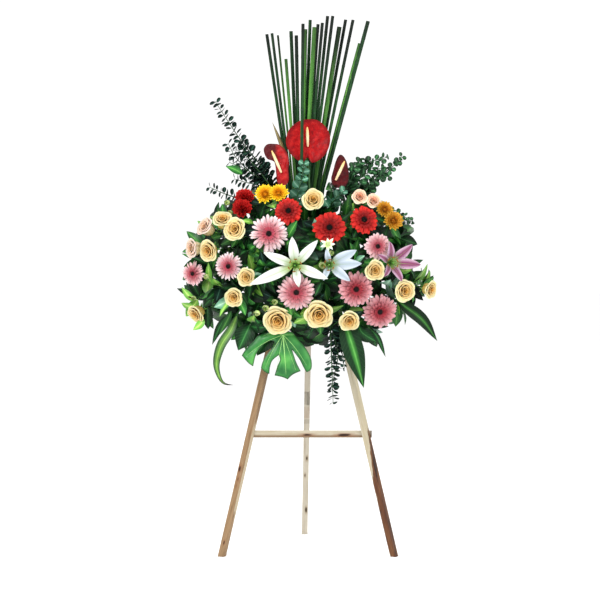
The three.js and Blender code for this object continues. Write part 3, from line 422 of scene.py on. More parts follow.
NARROW_WAY = (0.906, -0.423, 0)  # the way that the narrow sides of the front legs face


def narrow_side(paint, share, colour, low=0.0, high=2.0):
    """Painted light and shade on the narrow side of a front leg, which is turned to the right, between two heights.
    """
    normal = paint.node("TexCoord").outputs["Normal"]
    facing = paint.node("VectorMath", {0: normal, 1: NARROW_WAY}, operation="DOT_PRODUCT").outputs["Value"]
    up = paint.maths("ADD", paint.height, paint.maths("MULTIPLY", paint.torn, 0.2))
    inside = span(paint, up, low, high, share, 0.02)
    paint.cover(paint.maths("MULTIPLY", paint.level(facing, 0.6, 0.8), inside), from_hex(colour))


# %% [markdown]
# ## Each lath of the stand
# The left leg is browner than the others. Its narrow side has painted light lower down and painted shade
# higher up, and the narrow side of the right leg has painted light. The crossbar has brown along its lower
# edge and on its sawn end. Sawn edges are never quite sharp, so a narrow bevel breaks each one.

# %% Laths
def finish(node, paint, edge=0.0):
    """Gives a CAD piece its paint, and softens its sawn or pressed edges."""
    piece = frame["nodes"][node]
    piece.data.materials.clear()
    piece.data.materials.append(paint.material)
    if edge:
        soften = piece.modifiers.new("edge", "BEVEL")
        soften.width = edge
        soften.segments = 2
        soften.limit_method = "ANGLE"


LEG_FOOT, LEG_APEX = np.array([238, -200, 0]), 1029


def leg_front(side, height, across):
    """A point on the front of a front leg: side is -1 for the left one."""
    share = 1 - height / LEG_APEX
    return plan(side * LEG_FOOT[0] * share + across, LEG_FOOT[1] * share - 9, height)


def rear_leg_front(height, across):
    """A point on the front of the rear leg, which leans from its foot towards the bolt."""
    return plan(-10 + 0.0183 * height + across, 200 - 0.18 * height - 8.5, height)


left = Wood("left leg", "leg_left", from_hex("95795a"), from_hex("745a3c"))
# Painted light lower down on the narrow side, and painted shade above it.
narrow_side(left, 0.85, "b7a98f", 0.12, 0.36)
narrow_side(left, 0.6, "6a5238", 0.4)
for height, across, size in ((238, -7, 0.005), (210, -5, 0.0045), (193, -6, 0.003), (38, -3, 0.003)):
    knot(left, leg_front(-1, height, across), size)
finish("leg_left", left.done(), 0.001)

right = Wood("right leg", "leg_right", from_hex("b8b09c"), from_hex("a4987c"))
# Painted light on the narrow side.
narrow_side(right, 0.5, "b8ae90", 0.3)
bark(right, 0.375, 0.19, -0.0115, 0.0125)
finish("leg_right", right.done(), 0.001)

rear = Wood("rear leg", "leg_rear", from_hex("b8b0a0"), from_hex("a49a88"))
band(rear, 0.39, 0.428, 0.8, "4a463a")
band(rear, 0.352, 0.382, 0.35, "8a6248")
band(rear, 0.335, 0.346, 0.4, "6a6456")
for height, across, size in ((230, 2.4, 0.0042), (179, -2, 0.0035), (74, 3, 0.0042)):
    knot(rear, rear_leg_front(height, across), size, "35281a", "806a4a")
finish("leg_rear", rear.done(), 0.001)

bar_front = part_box("crossbar")[0][1]
bar = Wood("crossbar", "crossbar", from_hex("b4ab98"), from_hex("9c8e72"))
ragged = bar.maths("ADD", bar.height, bar.maths("MULTIPLY", bar.torn, 0.006))
bar.cover(bar.level(ragged, 0.3305, 0.3265, 0.0, 0.85), from_hex("6c5238"))
for across, size in ((-2, 0.0044), (102, 0.0052)):
    knot(bar, (plan(across, 0, 0)[0], bar_front, 0.3295), size, drawn=5)
bar.cover(bar.level(bar.side, plan(172, 0, 0)[0], plan(174, 0, 0)[0], 0.0, 0.8), from_hex("3a2a1e"))
finish("crossbar", bar.done(), 0.001)

finish("shelf_rail", Wood("shelf rail", "shelf_rail", from_hex("b4a88e"), from_hex("8c744e")).done(), 0.001)

# %% [markdown]
# ## Bracket, bolt, tray and foam
# The bracket and its bolt are zinc-plated, so they are grey, with fine scratches and a dull gloss. The tray is
# dark green moulded plastic. Floral foam crumbles into tiny cells, and it darkens where it is wet.

# %% Metal, plastic and foam
zinc = Paint("zinc plate", roughness=0.38, Metallic=1.0)
scratches = zinc.noise(zinc.place(size=(1, 1, 0.1)), 320.0, 4.0, 0.7)
zinc.colour(zinc.ramp(scratches, [(0.3, from_hex("7d8084")), (0.7, from_hex("c9ccd0"))]))
zinc.rough(zinc.level(scratches, 0.2, 0.8, 0.28, 0.5))
zinc.bump(scratches, 0.0002, 0.5)
finish("hinge_bracket", zinc, 0.0006)
finish("pivot_bolt", zinc, 0.0005)

tray = Paint("tray plastic", roughness=0.5)
dimples = tray.noise(tray.place(), 400.0, 3.0, 0.6)
tray.colour(tray.ramp(dimples, [(0.3, from_hex("122a1a")), (0.7, from_hex("1f4029"))]))
tray.bump(dimples, 0.0003, 0.4)
finish("foam_tray", tray, 0.0008)

foam = Paint("wet foam", roughness=0.95)
cells = foam.node("TexVoronoi", {"Vector": foam.place(), "Scale": 260.0}, feature="F1").outputs["Distance"]
damp = foam.noise(foam.place(), 14.0, 4.0, 0.6)
foam.colour(foam.mix(damp, from_hex("14301c"), from_hex("2f6b3d")))
foam.bump(foam.maths("ADD", cells, foam.noise(foam.place(), 90.0)), 0.001, 0.8)
finish("foam_block", foam, 0.002)
print("six finishes for the stand, two for the foam and its tray")

# %% [markdown]
# ## The dome
# A florist builds such a spray as a dome: blooms at its skin face outwards, a little more to the front than
# the skin itself does. So the place across and the height of a bloom are enough to find its depth and the way
# that it faces. A flower is made round its own upright line, in millimetres, and then set on its place.

# %% Seats on the dome
DOME_Y, DOME_Z = -70, 805
DOME_REACH = np.array([390, 235, 275])
GOLDEN = math.pi * (3 - math.sqrt(5))


def on_dome(x, z):
    inside = 1 - (x / DOME_REACH[0]) ** 2 - ((z - DOME_Z) / DOME_REACH[2]) ** 2
    y = DOME_Y - DOME_REACH[1] * math.sqrt(max(inside, 0.02))
    normal = unit(np.array([x, y - DOME_Y, z - DOME_Z]) / DOME_REACH**2)
    return np.array([x, y, z]), unit(0.6 * normal + 0.4 * FRONT)


class Seat:
    """The place of a flower. Its z axis is the way it faces, and its y axis is as near to up as it can be."""

    def __init__(self, point, facing):
        self.z = unit(facing)
        self.x = unit(np.cross(UP, self.z))
        self.y = np.cross(self.z, self.x)
        self.point = np.asarray(point, float)

    def put(self, grid):
        grid = np.asarray(grid, float)
        return plan(0, 0, 0) + MM * (self.point + grid @ np.array([self.x, self.y, self.z]))


def bloom_seat(x, z, radius, push=0, lean=(0, 0, 0)):
    point, facing = on_dome(x, z)
    return Seat(point + facing * (push - 0.5 * min(radius, 50)), facing + lean)


def bezier(t, a, b, c, d):
    return (1 - t) ** 3 * a + 3 * (1 - t) ** 2 * t * b + 3 * (1 - t) * t**2 * c + t**3 * d


# %% [markdown]
# ## Petal paint
# Most petals share one recipe. The colour changes along the petal and from the inner ring to the outer one.
# Fine veins run from foot to tip, and each petal is a little lighter or darker than the next. The veins are
# noise stretched along the petal, used for both colour and bump.

# %% Petal paint
def petal_paint(name, outer, inner, roughness=0.6, veins=0.12, spread=0.1, glow=0.25):
    paint = Paint(
        name, roughness=roughness, Specular_IOR_Level=0.22, Subsurface_Weight=glow, Subsurface_Scale=0.006
    )
    paint.shader.inputs["Subsurface Radius"].default_value = (1.0, 0.6, 0.4)
    across, along = paint.maps("petal")
    chance, ring = paint.maps("tone")
    body = paint.mix(ring, paint.ramp(along, outer), paint.ramp(along, inner))
    line = paint.noise(paint.join(paint.maths("MULTIPLY", across, 26.0), along, chance), 1.0, 3.0, 0.6)
    light = paint.level(chance, 0.0, 1.0, 1 - spread, 1 + spread)
    light = paint.maths("MULTIPLY", light, paint.level(line, 0.25, 0.75, 1 - veins, 1 + veins))
    paint.colour(paint.node("HueSaturation", {"Color": body, "Value": light}).outputs[0])
    paint.bump(line, 0.0012, 0.35)
    return paint


calyx_paint = petal_paint(
    "calyx green",
    [(0.0, from_hex("2f5a22")), (1.0, from_hex("5f9638"))],
    [(0.0, from_hex("2f5a22")), (1.0, from_hex("5f9638"))],
)
print("petal recipe ready")

# %% [markdown]
# ## Roses
# A garden rose has a tight heart, two loose rings round it, and five broad petals outside that open like a cup
# and roll their lips back. Each petal here is a patch that wraps round the flower's own line. Its section goes
# step by step from that of the heart to that of the outside, and the steps between the rings are larger, so
# that each ring shows a broad band of its petals.

# %% Rose
# Each petal's place between the heart and the outside
ROSE_PETALS = [
    *np.linspace(0, 0.38, 8), 0.5, 0.54, 0.58, 0.62, 0.73, 0.76, 0.79, 0.82, 0.94, 0.955, 0.97, 0.985, 1
]


def wrapped_petal(turn, half_turn, section, rows, columns, shoulder):
    """A petal that wraps round the flower's line, from its section and how far it reaches round."""
    s = np.linspace(-1, 1, columns)[None, :]
    v = np.linspace(0, 1, rows)[:, None] * (1 - shoulder * np.abs(s) ** 2.3)
    r, z = [bezier(v, *[point[i] for point in section]) for i in (0, 1)]
    angle = turn + s * half_turn * (0.55 + 0.45 * np.sin(2.3 * v))
    return s, v, r, z, angle


def round_points(r, z, angle):
    return np.stack([r * np.cos(angle), r * np.sin(angle), z], -1)


def rose_section(t):
    """Foot, belly, fold and lip of a petal, in radii. The lip of an outer petal rolls further out."""
    lip = 0.07 + 0.95 * t**0.95
    roll = 0.05 + 0.3 * t
    crown = 0.9 - 0.26 * lip**2
    return [(0.03 + 0.26 * t, 0.1 * (1 - t)), (lip - 0.4 * roll, 0.02 + 0.2 * (1 - t)),
            (lip - 1.5 * roll, crown + 0.1 + 0.12 * t), (lip, crown)]


def rose(pile, seat, radius, chance, opened=1.0, slot=0):
    """A rose. One that is less than fully opened keeps its width but is taller and wraps tighter."""
    radius = radius / (0.07 + 0.95 * opened**0.95)
    for i, share in enumerate(ROSE_PETALS):
        t = share * opened
        turn = i * GOLDEN + chance.uniform(-0.15, 0.15)
        half_turn = 1.5 - 0.66 * t
        s, v, r, z, angle = wrapped_petal(turn, half_turn, rose_section(t), 13, 13, 0.14)
        wave = chance.uniform(0, 6)
        r = r * (1 + 0.03 * s) + 0.035 * t * v**3 * np.sin(3.5 * s + wave)
        z = z + 0.045 * t * v**3 * np.sin(4 * s + 2 * wave) - 0.04 * v**4 * np.abs(s) ** 3
        size = radius * chance.uniform(0.97, 1.02)
        pile.add(seat.put(size * round_points(r, z, angle)), (chance.random(), (1 - share) ** 0.8), slot)
    calyx(pile, seat, radius * opened)


print("outer petal of a rose, in radii:", rose_section(1.0))

# %% Calyx
def calyx(pile, seat, radius):
    """The green cup behind a bloom, with five narrow sepals."""
    neck = np.array([[0, 0, -2.5], [0, 0, 0], [0, 0, 0.03 * radius], [0, 0, 0.09 * radius]])
    pile.add(seat.put(stem(neck, [2.4, 0.16 * radius, 0.3 * radius, 0.36 * radius], 12)), slot=1, closed=True)
    for i in range(5):
        turn = 2 * math.pi * i / 5
        way = np.array([math.cos(turn), math.sin(turn), 0])
        path = smooth_path([way * 0.1 * radius, way * 0.45 * radius - UP, way * 0.72 * radius - UP * 4], 7)
        widths = 0.12 * radius * np.array([0.8, 1, 0.95, 0.8, 0.55, 0.3, 0.05])
        pile.add(seat.put(leaf(path, widths, -UP, 5)), (0.4, 0.5), 1)


print("a calyx has five sepals")

# %% Rose colours
CREAM_ROSE = petal_paint(
    "cream rose",
    [(0.0, from_hex("a88438")), (0.55, from_hex("c2aa60")), (0.8, from_hex("cfc084")), (1.0, from_hex("dfd8ae"))],
    [(0.0, from_hex("8c5010")), (0.6, from_hex("c28029")), (1.0, from_hex("d49e46"))],
    glow=0.35,
)
PEACH_ROSE = petal_paint(
    "peach rose",
    [(0.0, from_hex("d8a868")), (0.6, from_hex("e6cfa0")), (1.0, from_hex("ecd2ba"))],
    [(0.0, from_hex("a85c28")), (0.6, from_hex("cf8450")), (1.0, from_hex("dd8c70"))],
    glow=0.35,
)
BLUSH_ROSE = petal_paint(
    "blush rose",
    [(0.0, from_hex("a89c58")), (0.5, from_hex("cdb98c")), (1.0, from_hex("dcc6bc"))],
    [(0.0, from_hex("a07c28")), (0.6, from_hex("cca864")), (1.0, from_hex("d8a88c"))],
    glow=0.35,
)
print(len(ROSE_PETALS), "petals in each rose")

# %% [markdown]
# ## Gerberas
# A gerbera is flat, like a daisy. Two staggered rings of long petals lie outside, shorter rings stand inside
# them, and the eye is a dome of tiny florets. Each long petal has two grooves and a blunt tip. The florets
# follow the golden angle, as in the real flower.

# %% Gerbera
# For each ring: share of the petals, start and end in radii, heights at foot, first third, second third and
# tip, half width in radii, and the ring's number for the paint.
GERBERA_RINGS = [
    (1.0, 0.12, 1.0, (0.07, 0.15, 0.15, 0.06), 1.0, 0.0),
    (1.0, 0.12, 0.92, (0.08, 0.19, 0.21, 0.13), 1.0, 0.12),
    (1.2, 0.1, 0.6, (0.1, 0.24, 0.3, 0.27), 0.72, 0.75),
    (1.4, 0.1, 0.36, (0.12, 0.22, 0.3, 0.32), 0.5, 1.0),
]
RAY = np.array([0, 0.14, 0.28, 0.42, 0.56, 0.7, 0.82, 0.9, 0.96, 0.99, 1.0])
RAY_WIDTH = np.array([0.42, 0.58, 0.74, 0.88, 0.96, 1.0, 0.97, 0.87, 0.66, 0.42, 0.1])


def ray_petal(turn, start, end, heights, half_width, chance):
    s = np.linspace(-1, 1, 7)
    bend = chance.uniform(-0.06, 0.06)
    r = start + (end - start) * RAY
    z = bezier(RAY, *heights) + chance.uniform(-0.04, 0.04) * RAY**2
    side = half_width * RAY_WIDTH
    grooves = 0.16 * side[:, None] * (np.cos(s * 2 * np.pi) - 1) * 0.5
    height = z[:, None] + grooves + 0.3 * side[:, None] * s**2
    across = side[:, None] * s + bend * RAY[:, None] ** 2
    notch = 1 - 0.02 * np.cos(s * 2 * np.pi) * RAY[:, None] ** 8
    along = r[:, None] * notch
    x = along * math.cos(turn) - across * math.sin(turn)
    y = along * math.sin(turn) + across * math.cos(turn)
    return np.stack([x, y, height], -1)


def gerbera(pile, seat, radius, chance, petals=20, breadth=0.078, eye_share=0.15):
    for k, (share, start, end, heights, narrow, ring) in enumerate(GERBERA_RINGS):
        count = round(petals * share)
        for i in range(count):
            turn = 2 * math.pi * (i + 0.5 * (k % 2)) / count + chance.uniform(-0.07, 0.07)
            far = end * chance.uniform(0.9, 1.0)
            petal = ray_petal(turn, start, far, heights, breadth * narrow * chance.uniform(0.85, 1.1), chance)
            pile.add(seat.put(radius * petal), (chance.random(), ring))
    eye = 110
    for i in range(eye):
        share = math.sqrt((i + 0.5) / eye)
        turn = i * GOLDEN
        foot = radius * eye_share * share * np.array([math.cos(turn), math.sin(turn), 0])
        foot = foot + UP * (12 - 4 * share**2)
        path = np.array([foot - UP * 2, foot, foot + UP * 1.4, foot + UP * 2])
        floret = stem(path, np.array([0.6, 0.8, 0.6, 0.05]) * radius / 50, 6)
        pile.add(seat.put(floret), (share, 0.5), 2, True)
    calyx(pile, seat, 0.75 * radius)


print("rings of petals in a gerbera:", len(GERBERA_RINGS))

# %% Gerbera colours
def eye_paint(name, dark, light):
    paint = Paint(name, roughness=0.75)
    _, along = paint.maps("petal")
    share, _ = paint.maps("tone")
    tip = paint.mix(paint.level(share, 0.6, 1.0), dark, light)
    paint.colour(paint.mix(along, dark, tip))
    return paint


PINK_EYE = eye_paint("pink gerbera eye", from_hex("16080a"), from_hex("5c2a20"))
RED_EYE = eye_paint("red gerbera eye", from_hex("060505"), from_hex("16090a"))


def pink(name, tip, middle, heart):
    return petal_paint(
        name,
        [(0.0, heart), (0.3, middle), (0.7, tip), (1.0, tip)],
        [(0.0, heart), (0.6, heart), (1.0, middle)],
    )


PALE_PINK = pink("pale pink gerbera", from_hex("dfbfc0"), from_hex("cd868c"), from_hex("a84450"))
WHITE_PINK = pink("whitish pink gerbera", from_hex("e4d4d4"), from_hex("d0949a"), from_hex("b04654"))
CORAL_PINK = pink("coral gerbera", from_hex("d09ca0"), from_hex("b86068"), from_hex("942a34"))
RED_GERBERA = petal_paint(
    "red gerbera",
    [(0.0, from_hex("640808")), (0.4, from_hex("b01210")), (1.0, from_hex("d62e20"))],
    [(0.0, from_hex("4a0404")), (1.0, from_hex("a00e0c"))],
    spread=0.22,
)
print("gerbera rings:", len(GERBERA_RINGS))

# %% [markdown]
# ## Chrysanthemums and carnations
# A chrysanthemum is a ball of narrow spoon-shaped petals that curve in. A carnation is a pile of broad petals
# with frilled, toothed edges. Both start from the same idea as the rose, a spiral from the outside to the
# heart, but with petals of their own shape.

# %% Chrysanthemum and carnation
CHRYSANTHEMUM_PETALS = 120
CARNATION_PETALS = 34
SPOON = np.array([0.35, 0.6, 0.85, 1.0, 1.0, 0.8, 0.3])


def chrysanthemum(pile, seat, radius, chance):
    for i in range(CHRYSANTHEMUM_PETALS):
        t = i / (CHRYSANTHEMUM_PETALS - 1)
        climb = -0.12 + 1.5 * t + chance.uniform(-0.08, 0.08)
        length = (0.76 - 0.4 * t) * chance.uniform(0.9, 1.08)
        v = np.linspace(0, 1, len(SPOON))
        r = 0.2 * math.cos(climb) + length * v * math.cos(climb) - 0.3 * length * v**2 * math.sin(climb)
        z = 0.3 + 0.14 * math.sin(climb) + length * (v * math.sin(climb) + 0.3 * v**2 * math.cos(climb)) * 0.8
        turn = i * GOLDEN
        path = np.stack([r * math.cos(turn), r * math.sin(turn), z], -1)
        inward = -math.sin(climb)
        facing = np.array([inward * math.cos(turn), inward * math.sin(turn), math.cos(climb)])
        grid = leaf(path, 0.125 * SPOON, facing, 5, fold=0.55)
        pile.add(seat.put(radius * grid), (chance.random(), t))
    calyx(pile, seat, radius)


def carnation(pile, seat, radius, chance):
    outside = [(0.06, 0.05), (0.5, 0.02), (0.86, 0.2), (0.98, 0.42)]
    inside = [(0.04, 0.1), (0.1, 0.4), (0.1, 0.7), (0.16, 0.9)]
    for i in range(CARNATION_PETALS):
        t = i / (CARNATION_PETALS - 1)
        section = [tuple((1 - t) * np.array(a) + t * np.array(b)) for a, b in zip(outside, inside)]
        s, v, r, z, angle = wrapped_petal(i * GOLDEN, 0.62 + 0.5 * t, section, 7, 19, 0.2)
        frill = v**2 * np.sin(9 * s + chance.uniform(0, 6))
        teeth = 1 - 0.07 * (np.arange(19) % 2)[None, :] * v**6
        r = (r + 0.055 * frill) * teeth
        z = z + 0.06 * v**2 * np.sin(7 * s + chance.uniform(0, 6))
        pile.add(seat.put(radius * round_points(r, z * teeth, angle)), (chance.random(), t))
    calyx(pile, seat, radius)


print("two kinds of ball-shaped bloom")

# %% Chrysanthemum and carnation colours
YELLOW_BALL = petal_paint(
    "yellow chrysanthemum",
    [(0.0, from_hex("e8a00c")), (0.5, from_hex("fbd014")), (1.0, from_hex("fde53a"))],
    [(0.0, from_hex("ee8c10")), (1.0, from_hex("f7a81a"))],
)
BRONZE_BALL = petal_paint(
    "bronze chrysanthemum",
    [(0.0, from_hex("9a6410")), (0.5, from_hex("c8921e")), (1.0, from_hex("d8ac3c"))],
    [(0.0, from_hex("b86a14")), (1.0, from_hex("d98a24"))],
)
CARNATION_RED = petal_paint(
    "dark red carnation",
    [(0.0, from_hex("6a050a")), (0.7, from_hex("bc1016")), (1.0, from_hex("d83830"))],
    [(0.0, from_hex("6a050a")), (1.0, from_hex("c81c1c"))],
)
print(CHRYSANTHEMUM_PETALS, "and", CARNATION_PETALS, "petals")

# %% [markdown]
# ## Set out the round blooms
# Each row names a bloom of the model, its kind, its paint, and for each head its place across, its height,
# its radius and how far it is pushed out of the dome, in millimetres.

# %% Blooms on the dome
PINKS = {"petals": 20, "breadth": 0.078}
CORALS = {"petals": 17, "breadth": 0.105}
BROAD = {"petals": 15, "breadth": 0.13, "eye_share": 0.19}
BLOOMS = [
    ("gerbera_pink_1", gerbera, [WHITE_PINK, calyx_paint, PINK_EYE], "petal_pink", PINKS, [(-108, 894, 56, 0)]),
    ("gerbera_pink_2", gerbera, [WHITE_PINK, calyx_paint, PINK_EYE], "petal_pink", PINKS, [(-220, 802, 41, 0)]),
    ("gerbera_pink_3", gerbera, [PALE_PINK, calyx_paint, PINK_EYE], "petal_pink", PINKS, [(-322, 780, 36, 0)]),
    ("gerbera_pink_4", gerbera, [PALE_PINK, calyx_paint, PINK_EYE], "petal_pink", PINKS, [(-32, 730, 54, 0)]),
    ("gerbera_pink_5", gerbera, [CORAL_PINK, calyx_paint, PINK_EYE], "petal_pink", CORALS, [(133, 738, 51, 0)]),
    ("gerbera_pink_6", gerbera, [CORAL_PINK, calyx_paint, PINK_EYE], "petal_pink", CORALS, [(201, 672, 51, 0)]),
    ("gerbera_pink_7", gerbera, [PALE_PINK, calyx_paint, PINK_EYE], "petal_pink", CORALS, [(192, 858, 39, 0)]),
    ("gerbera_red_1", gerbera, [RED_GERBERA, calyx_paint, RED_EYE], "petal_red", BROAD, [(59, 911, 48, 0)]),
    ("gerbera_red_2", gerbera, [RED_GERBERA, calyx_paint, RED_EYE], "petal_red", BROAD, [(155, 933, 42, 0)]),
    ("gerbera_red_3", gerbera, [RED_GERBERA, calyx_paint, RED_EYE], "petal_red", BROAD, [(-54, 957, 41, 0)]),
    ("carnations_red", carnation, [CARNATION_RED, calyx_paint], "petal_dark_red", {},
     [(-182, 962, 30, 0), (-176, 993, 29, 0)]),
    ("chrysanthemums_left", chrysanthemum, [YELLOW_BALL, calyx_paint], "petal_yellow", {},
     [(-118, 1000, 31, 0), (-81, 1003, 29, 0)]),
    ("chrysanthemums_right", chrysanthemum, [BRONZE_BALL, calyx_paint], "petal_yellow", {},
     [(210, 958, 26, 0), (234, 928, 30, 0)]),
    ("rose_top", rose, [CREAM_ROSE, calyx_paint], "petal_cream", {}, [(14, 982, 33, 0)]),
    ("roses_left_high", rose, [CREAM_ROSE, calyx_paint, BLUSH_ROSE], "petal_cream", {},
     [(-198, 903, 34, 0), (-236, 914, 30, 0), (-267, 898, 29, 0)]),
    ("roses_left", rose, [CREAM_ROSE, calyx_paint, BLUSH_ROSE], "petal_cream", {},
     [(-263, 850, 32, 0), (-298, 852, 29, 0)]),
    ("rose_left_1", rose, [CREAM_ROSE, calyx_paint], "petal_cream", {}, [(-166, 774, 27, 0)]),
    ("rose_left_2", rose, [CREAM_ROSE, calyx_paint], "petal_cream", {}, [(-201, 719, 28, 0)]),
    ("rose_left_3", rose, [CREAM_ROSE, calyx_paint], "petal_cream", {}, [(-301, 677, 29, 0)]),
    ("rose_front_1", rose, [CREAM_ROSE, calyx_paint], "petal_cream", {}, [(-82, 657, 44, 0)]),
    ("rose_front_2", rose, [CREAM_ROSE, calyx_paint], "petal_cream", {}, [(30, 674, 42, 0)]),
    ("rose_front_3", rose, [CREAM_ROSE, calyx_paint], "petal_cream", {}, [(112, 655, 31, 0)]),
    ("rose_right_1", rose, [CREAM_ROSE, calyx_paint], "petal_cream", {}, [(181, 792, 30, 0)]),
    ("rose_right_2", rose, [CREAM_ROSE, calyx_paint], "petal_cream", {}, [(259, 734, 33, 0)]),
    ("rose_right_3", rose, [CREAM_ROSE, calyx_paint], "petal_cream", {}, [(325, 738, 26, 0)]),
    ("roses_right_high", rose, [PEACH_ROSE, calyx_paint], "petal_cream", {},
     [(142, 993, 24, -6), (180, 982, 23, -6)]),
]
# Roses that aren't fully open, by place across: how open, how far they lean aside and up, and their paint
LEANING = {
    -236: (0.72, 0.25, 0.7, 0), -267: (0.62, -0.6, 0.5, 2), -263: (0.85, -0.35, -0.3, 0),
    -298: (0.62, -0.9, -0.1, 2), -301: (0.72, -0.3, -0.3, 0), 325: (0.7, 0.5, 0.0, 0), 259: (0.85, 0.1, 0.1, 0),
}
blocking = []  # everything that a leaf must not cut through


def missed_by(pile, node):
    """How far the middle of the made piece lies from the middle of the model's, in millimetres."""
    points, _ = pile.solid()
    low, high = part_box(node)
    return float(np.linalg.norm((points.min(0) + points.max(0)) / 2 - np.array((low + high) / 2)) / MM)


print(len(BLOOMS), "pieces to grow")

# %% Grow the blooms
for node, grow, paints, slot, options, heads in BLOOMS:
    pile = Pile()
    chance = dice(node)
    for x, z, radius, push in heads:
        if grow is rose and x in LEANING:
            opened, aside, up, paint = LEANING[x]
            seat = bloom_seat(x, z, radius, push, (aside, 0, up))
            rose(pile, seat, radius, chance, opened, paint)
        else:
            grow(pile, bloom_seat(x, z, radius, push), radius, chance, **options)
    pile.make(node + "_petals", [node], slot, paints)
    blocking.append(pile)
    print(node, pile.count, "points,", round(missed_by(pile, node), 1), "mm off the model's middle")

# %% [markdown]
# ## Lilies
# A lily has six long tepals that arch out of a green throat and turn back at their tips. Six stamens with
# hinged anthers and one pistil stand in the middle. The white pair shares one stem, and the second of them
# is the same white with painted grey-blue shade. The side lily is a stargazer, magenta with pale edges and
# dark freckles.

# %% Lily
# For each throat: its place in the plane of the bloom, its cup height, and the angle and length of each tepal.
WHITE_LILIES = [
    ((0, 0), 30, [(158, 92), (96, 78), (48, 92), (-22, 96), (-80, 60), (203, 134)]),
    ((92, 2), 24, [(28, 84), (2, 88), (-38, 72), (100, 44), (-110, 46)]),
]
STARGAZER = [((0, 0), 26, [(40, 78), (-4, 84), (-60, 60), (95, 58), (150, 46), (-120, 44)])]


def tepal(angle, length, cup, breadth, chance):
    way = np.array([math.cos(angle), math.sin(angle), 0])
    corners = [way * 0.05 * length + UP * 3.5, way * 0.45 * length + UP * cup,
               way * 0.8 * length + UP * 1.12 * cup, way * length + UP * 0.75 * cup]
    path = smooth_path(corners, 22)
    t = np.linspace(0, 1, 22)
    widths = breadth * length * np.sin(np.pi * t**0.86) ** 0.8 + 1.6 * (1 - t)
    wave = chance.uniform(0.05, 0.12)
    return leaf(path, widths, UP, 11, fold=-0.2, wave=wave, groove=0.1)


def tepal_breadth(length):
    """Half the width of a tepal, as a share of its length. The longest ones are the narrowest."""
    return 0.165 if length < 90 else 0.13 if length < 100 else 0.105


def lily(pile, seat, throats, chance):
    for number, ((x, y), cup, tepals) in enumerate(throats):
        middle = np.array([x, y, 0])
        for i, (degrees, length) in enumerate(tepals):
            grid = tepal(math.radians(degrees), length, cup, tepal_breadth(length), chance)
            pile.add(seat.put(middle + grid), (chance.random(), (i % 2) * 0.3), 3 * number)
        neck = np.array([[0, 0, -2], [0, 0, 2], [0, 0, 7], [0, 0, 10]])
        pile.add(seat.put(middle + stem(neck, [4, 7, 8, 7], 12)), (0.5, 0.5), 1, True)
        for i in range(7):
            turn = math.pi * i / 3 + 0.4
            lean = 0.0 if i == 6 else 0.42
            way = np.array([math.cos(turn) * lean, math.sin(turn) * lean, 1])
            far = cup + (13 if i == 6 else 7 + 5 * chance.random())
            path = smooth_path([middle + UP * 3, middle + way * far * 0.6, middle + way * far - UP * 2], 9)
            pile.add(seat.put(stem(path, [1.1] * 8 + [0.7], 6)), (0.5, 0.5), 1, True)
            tip = path[-1]
            if i == 6:
                bead = tip + UP * np.linspace(-2, 2.5, 6)[:, None]
                pile.add(seat.put(stem(bead, [1, 2.2, 2.8, 2.8, 2, 0.1], 9)), (0.2, 0.5), 1, True)
            else:
                cross = unit(np.cross(way, UP) + 0.2 * way)
                line = tip + cross * np.linspace(-5.5, 5.5, 8)[:, None]
                anther = stem(line, [0.3, 1.2, 1.7, 1.8, 1.8, 1.6, 1.1, 0.2], 7)
                pile.add(seat.put(anther), (0.5, 0.5), 2, True)


print(len(WHITE_LILIES + STARGAZER), "lilies")

# %% Lily paint
def lily_paint(name, edge, middle, throat, freckles=None):
    paint = Paint(name, roughness=0.45, Sheen_Weight=0.2, Specular_IOR_Level=0.35)
    across, along = paint.maps("petal")
    chance, _ = paint.maps("tone")
    off_middle = paint.maths("ABSOLUTE", paint.maths("SUBTRACT", across, 0.5))
    body = paint.mix(paint.level(off_middle, 0.12, 0.42), middle, edge)
    rib = paint.maths("MULTIPLY", paint.level(off_middle, 0.0, 0.06, 1.0, 0.0), paint.level(along, 0.9, 0.2))
    body = paint.mix(paint.maths("MULTIPLY", rib, 0.6), body, throat)
    body = paint.mix(paint.level(along, 0.05, 0.34, 1.0, 0.0), body, throat)
    if freckles:
        where = {"Vector": paint.join(across, along, chance), "Scale": 11.0}
        spots = paint.node("TexVoronoi", where, feature="F1")
        dot = paint.level(spots.outputs["Distance"], 0.16, 0.24, 1.0, 0.0)
        dot = paint.maths("MULTIPLY", dot, paint.level(along, 0.75, 0.45))
        body = paint.mix(dot, body, freckles)
    veins = paint.noise(paint.join(paint.maths("MULTIPLY", across, 30.0), along, chance), 1.0, 3.0, 0.6)
    light = paint.level(veins, 0.25, 0.75, 0.93, 1.05)
    paint.colour(paint.node("HueSaturation", {"Color": body, "Value": light}).outputs[0])
    paint.bump(veins, 0.0015, 0.4)
    return paint


anther_paint = Paint("lily anthers", roughness=0.9)
dust = anther_paint.noise(anther_paint.place(), 900.0, 2.0)
anther_paint.colour(anther_paint.ramp(dust, [(0.3, from_hex("5c3a12")), (0.7, from_hex("9a6a24"))]))
anther_paint.bump(dust, 0.0004)
white_lily = lily_paint("white lily", from_hex("d9ddd8"), from_hex("c9d2c2"), from_hex("8fac44"))
# The second lily of the white pair is the same white lily, painted grey-blue as painted shade.
shaded_white_lily = lily_paint("shaded white lily", from_hex("bcc6d0"), from_hex("a0adb8"), from_hex("7f9e50"))
star_lily = lily_paint(
    "stargazer lily", from_hex("b696aa"), from_hex("782858"), from_hex("7fae4a"), freckles=from_hex("4c0f28")
)
for node, throats, paint, slot, (x, z, radius) in [
    ("lilies_white", WHITE_LILIES, white_lily, "petal_white", (-35, 806, 100)),
    ("lily_stargazer", STARGAZER, star_lily, "petal_magenta", (228, 812, 70)),
]:
    pile = Pile()
    lily(pile, bloom_seat(x, z, radius), throats, dice(node))
    pile.make(node + "_tepals", [node], slot, [paint, calyx_paint, anther_paint, shaded_white_lily])
    blocking.append(pile)
    print(node, pile.count, "points,", round(missed_by(pile, node), 1), "mm off")
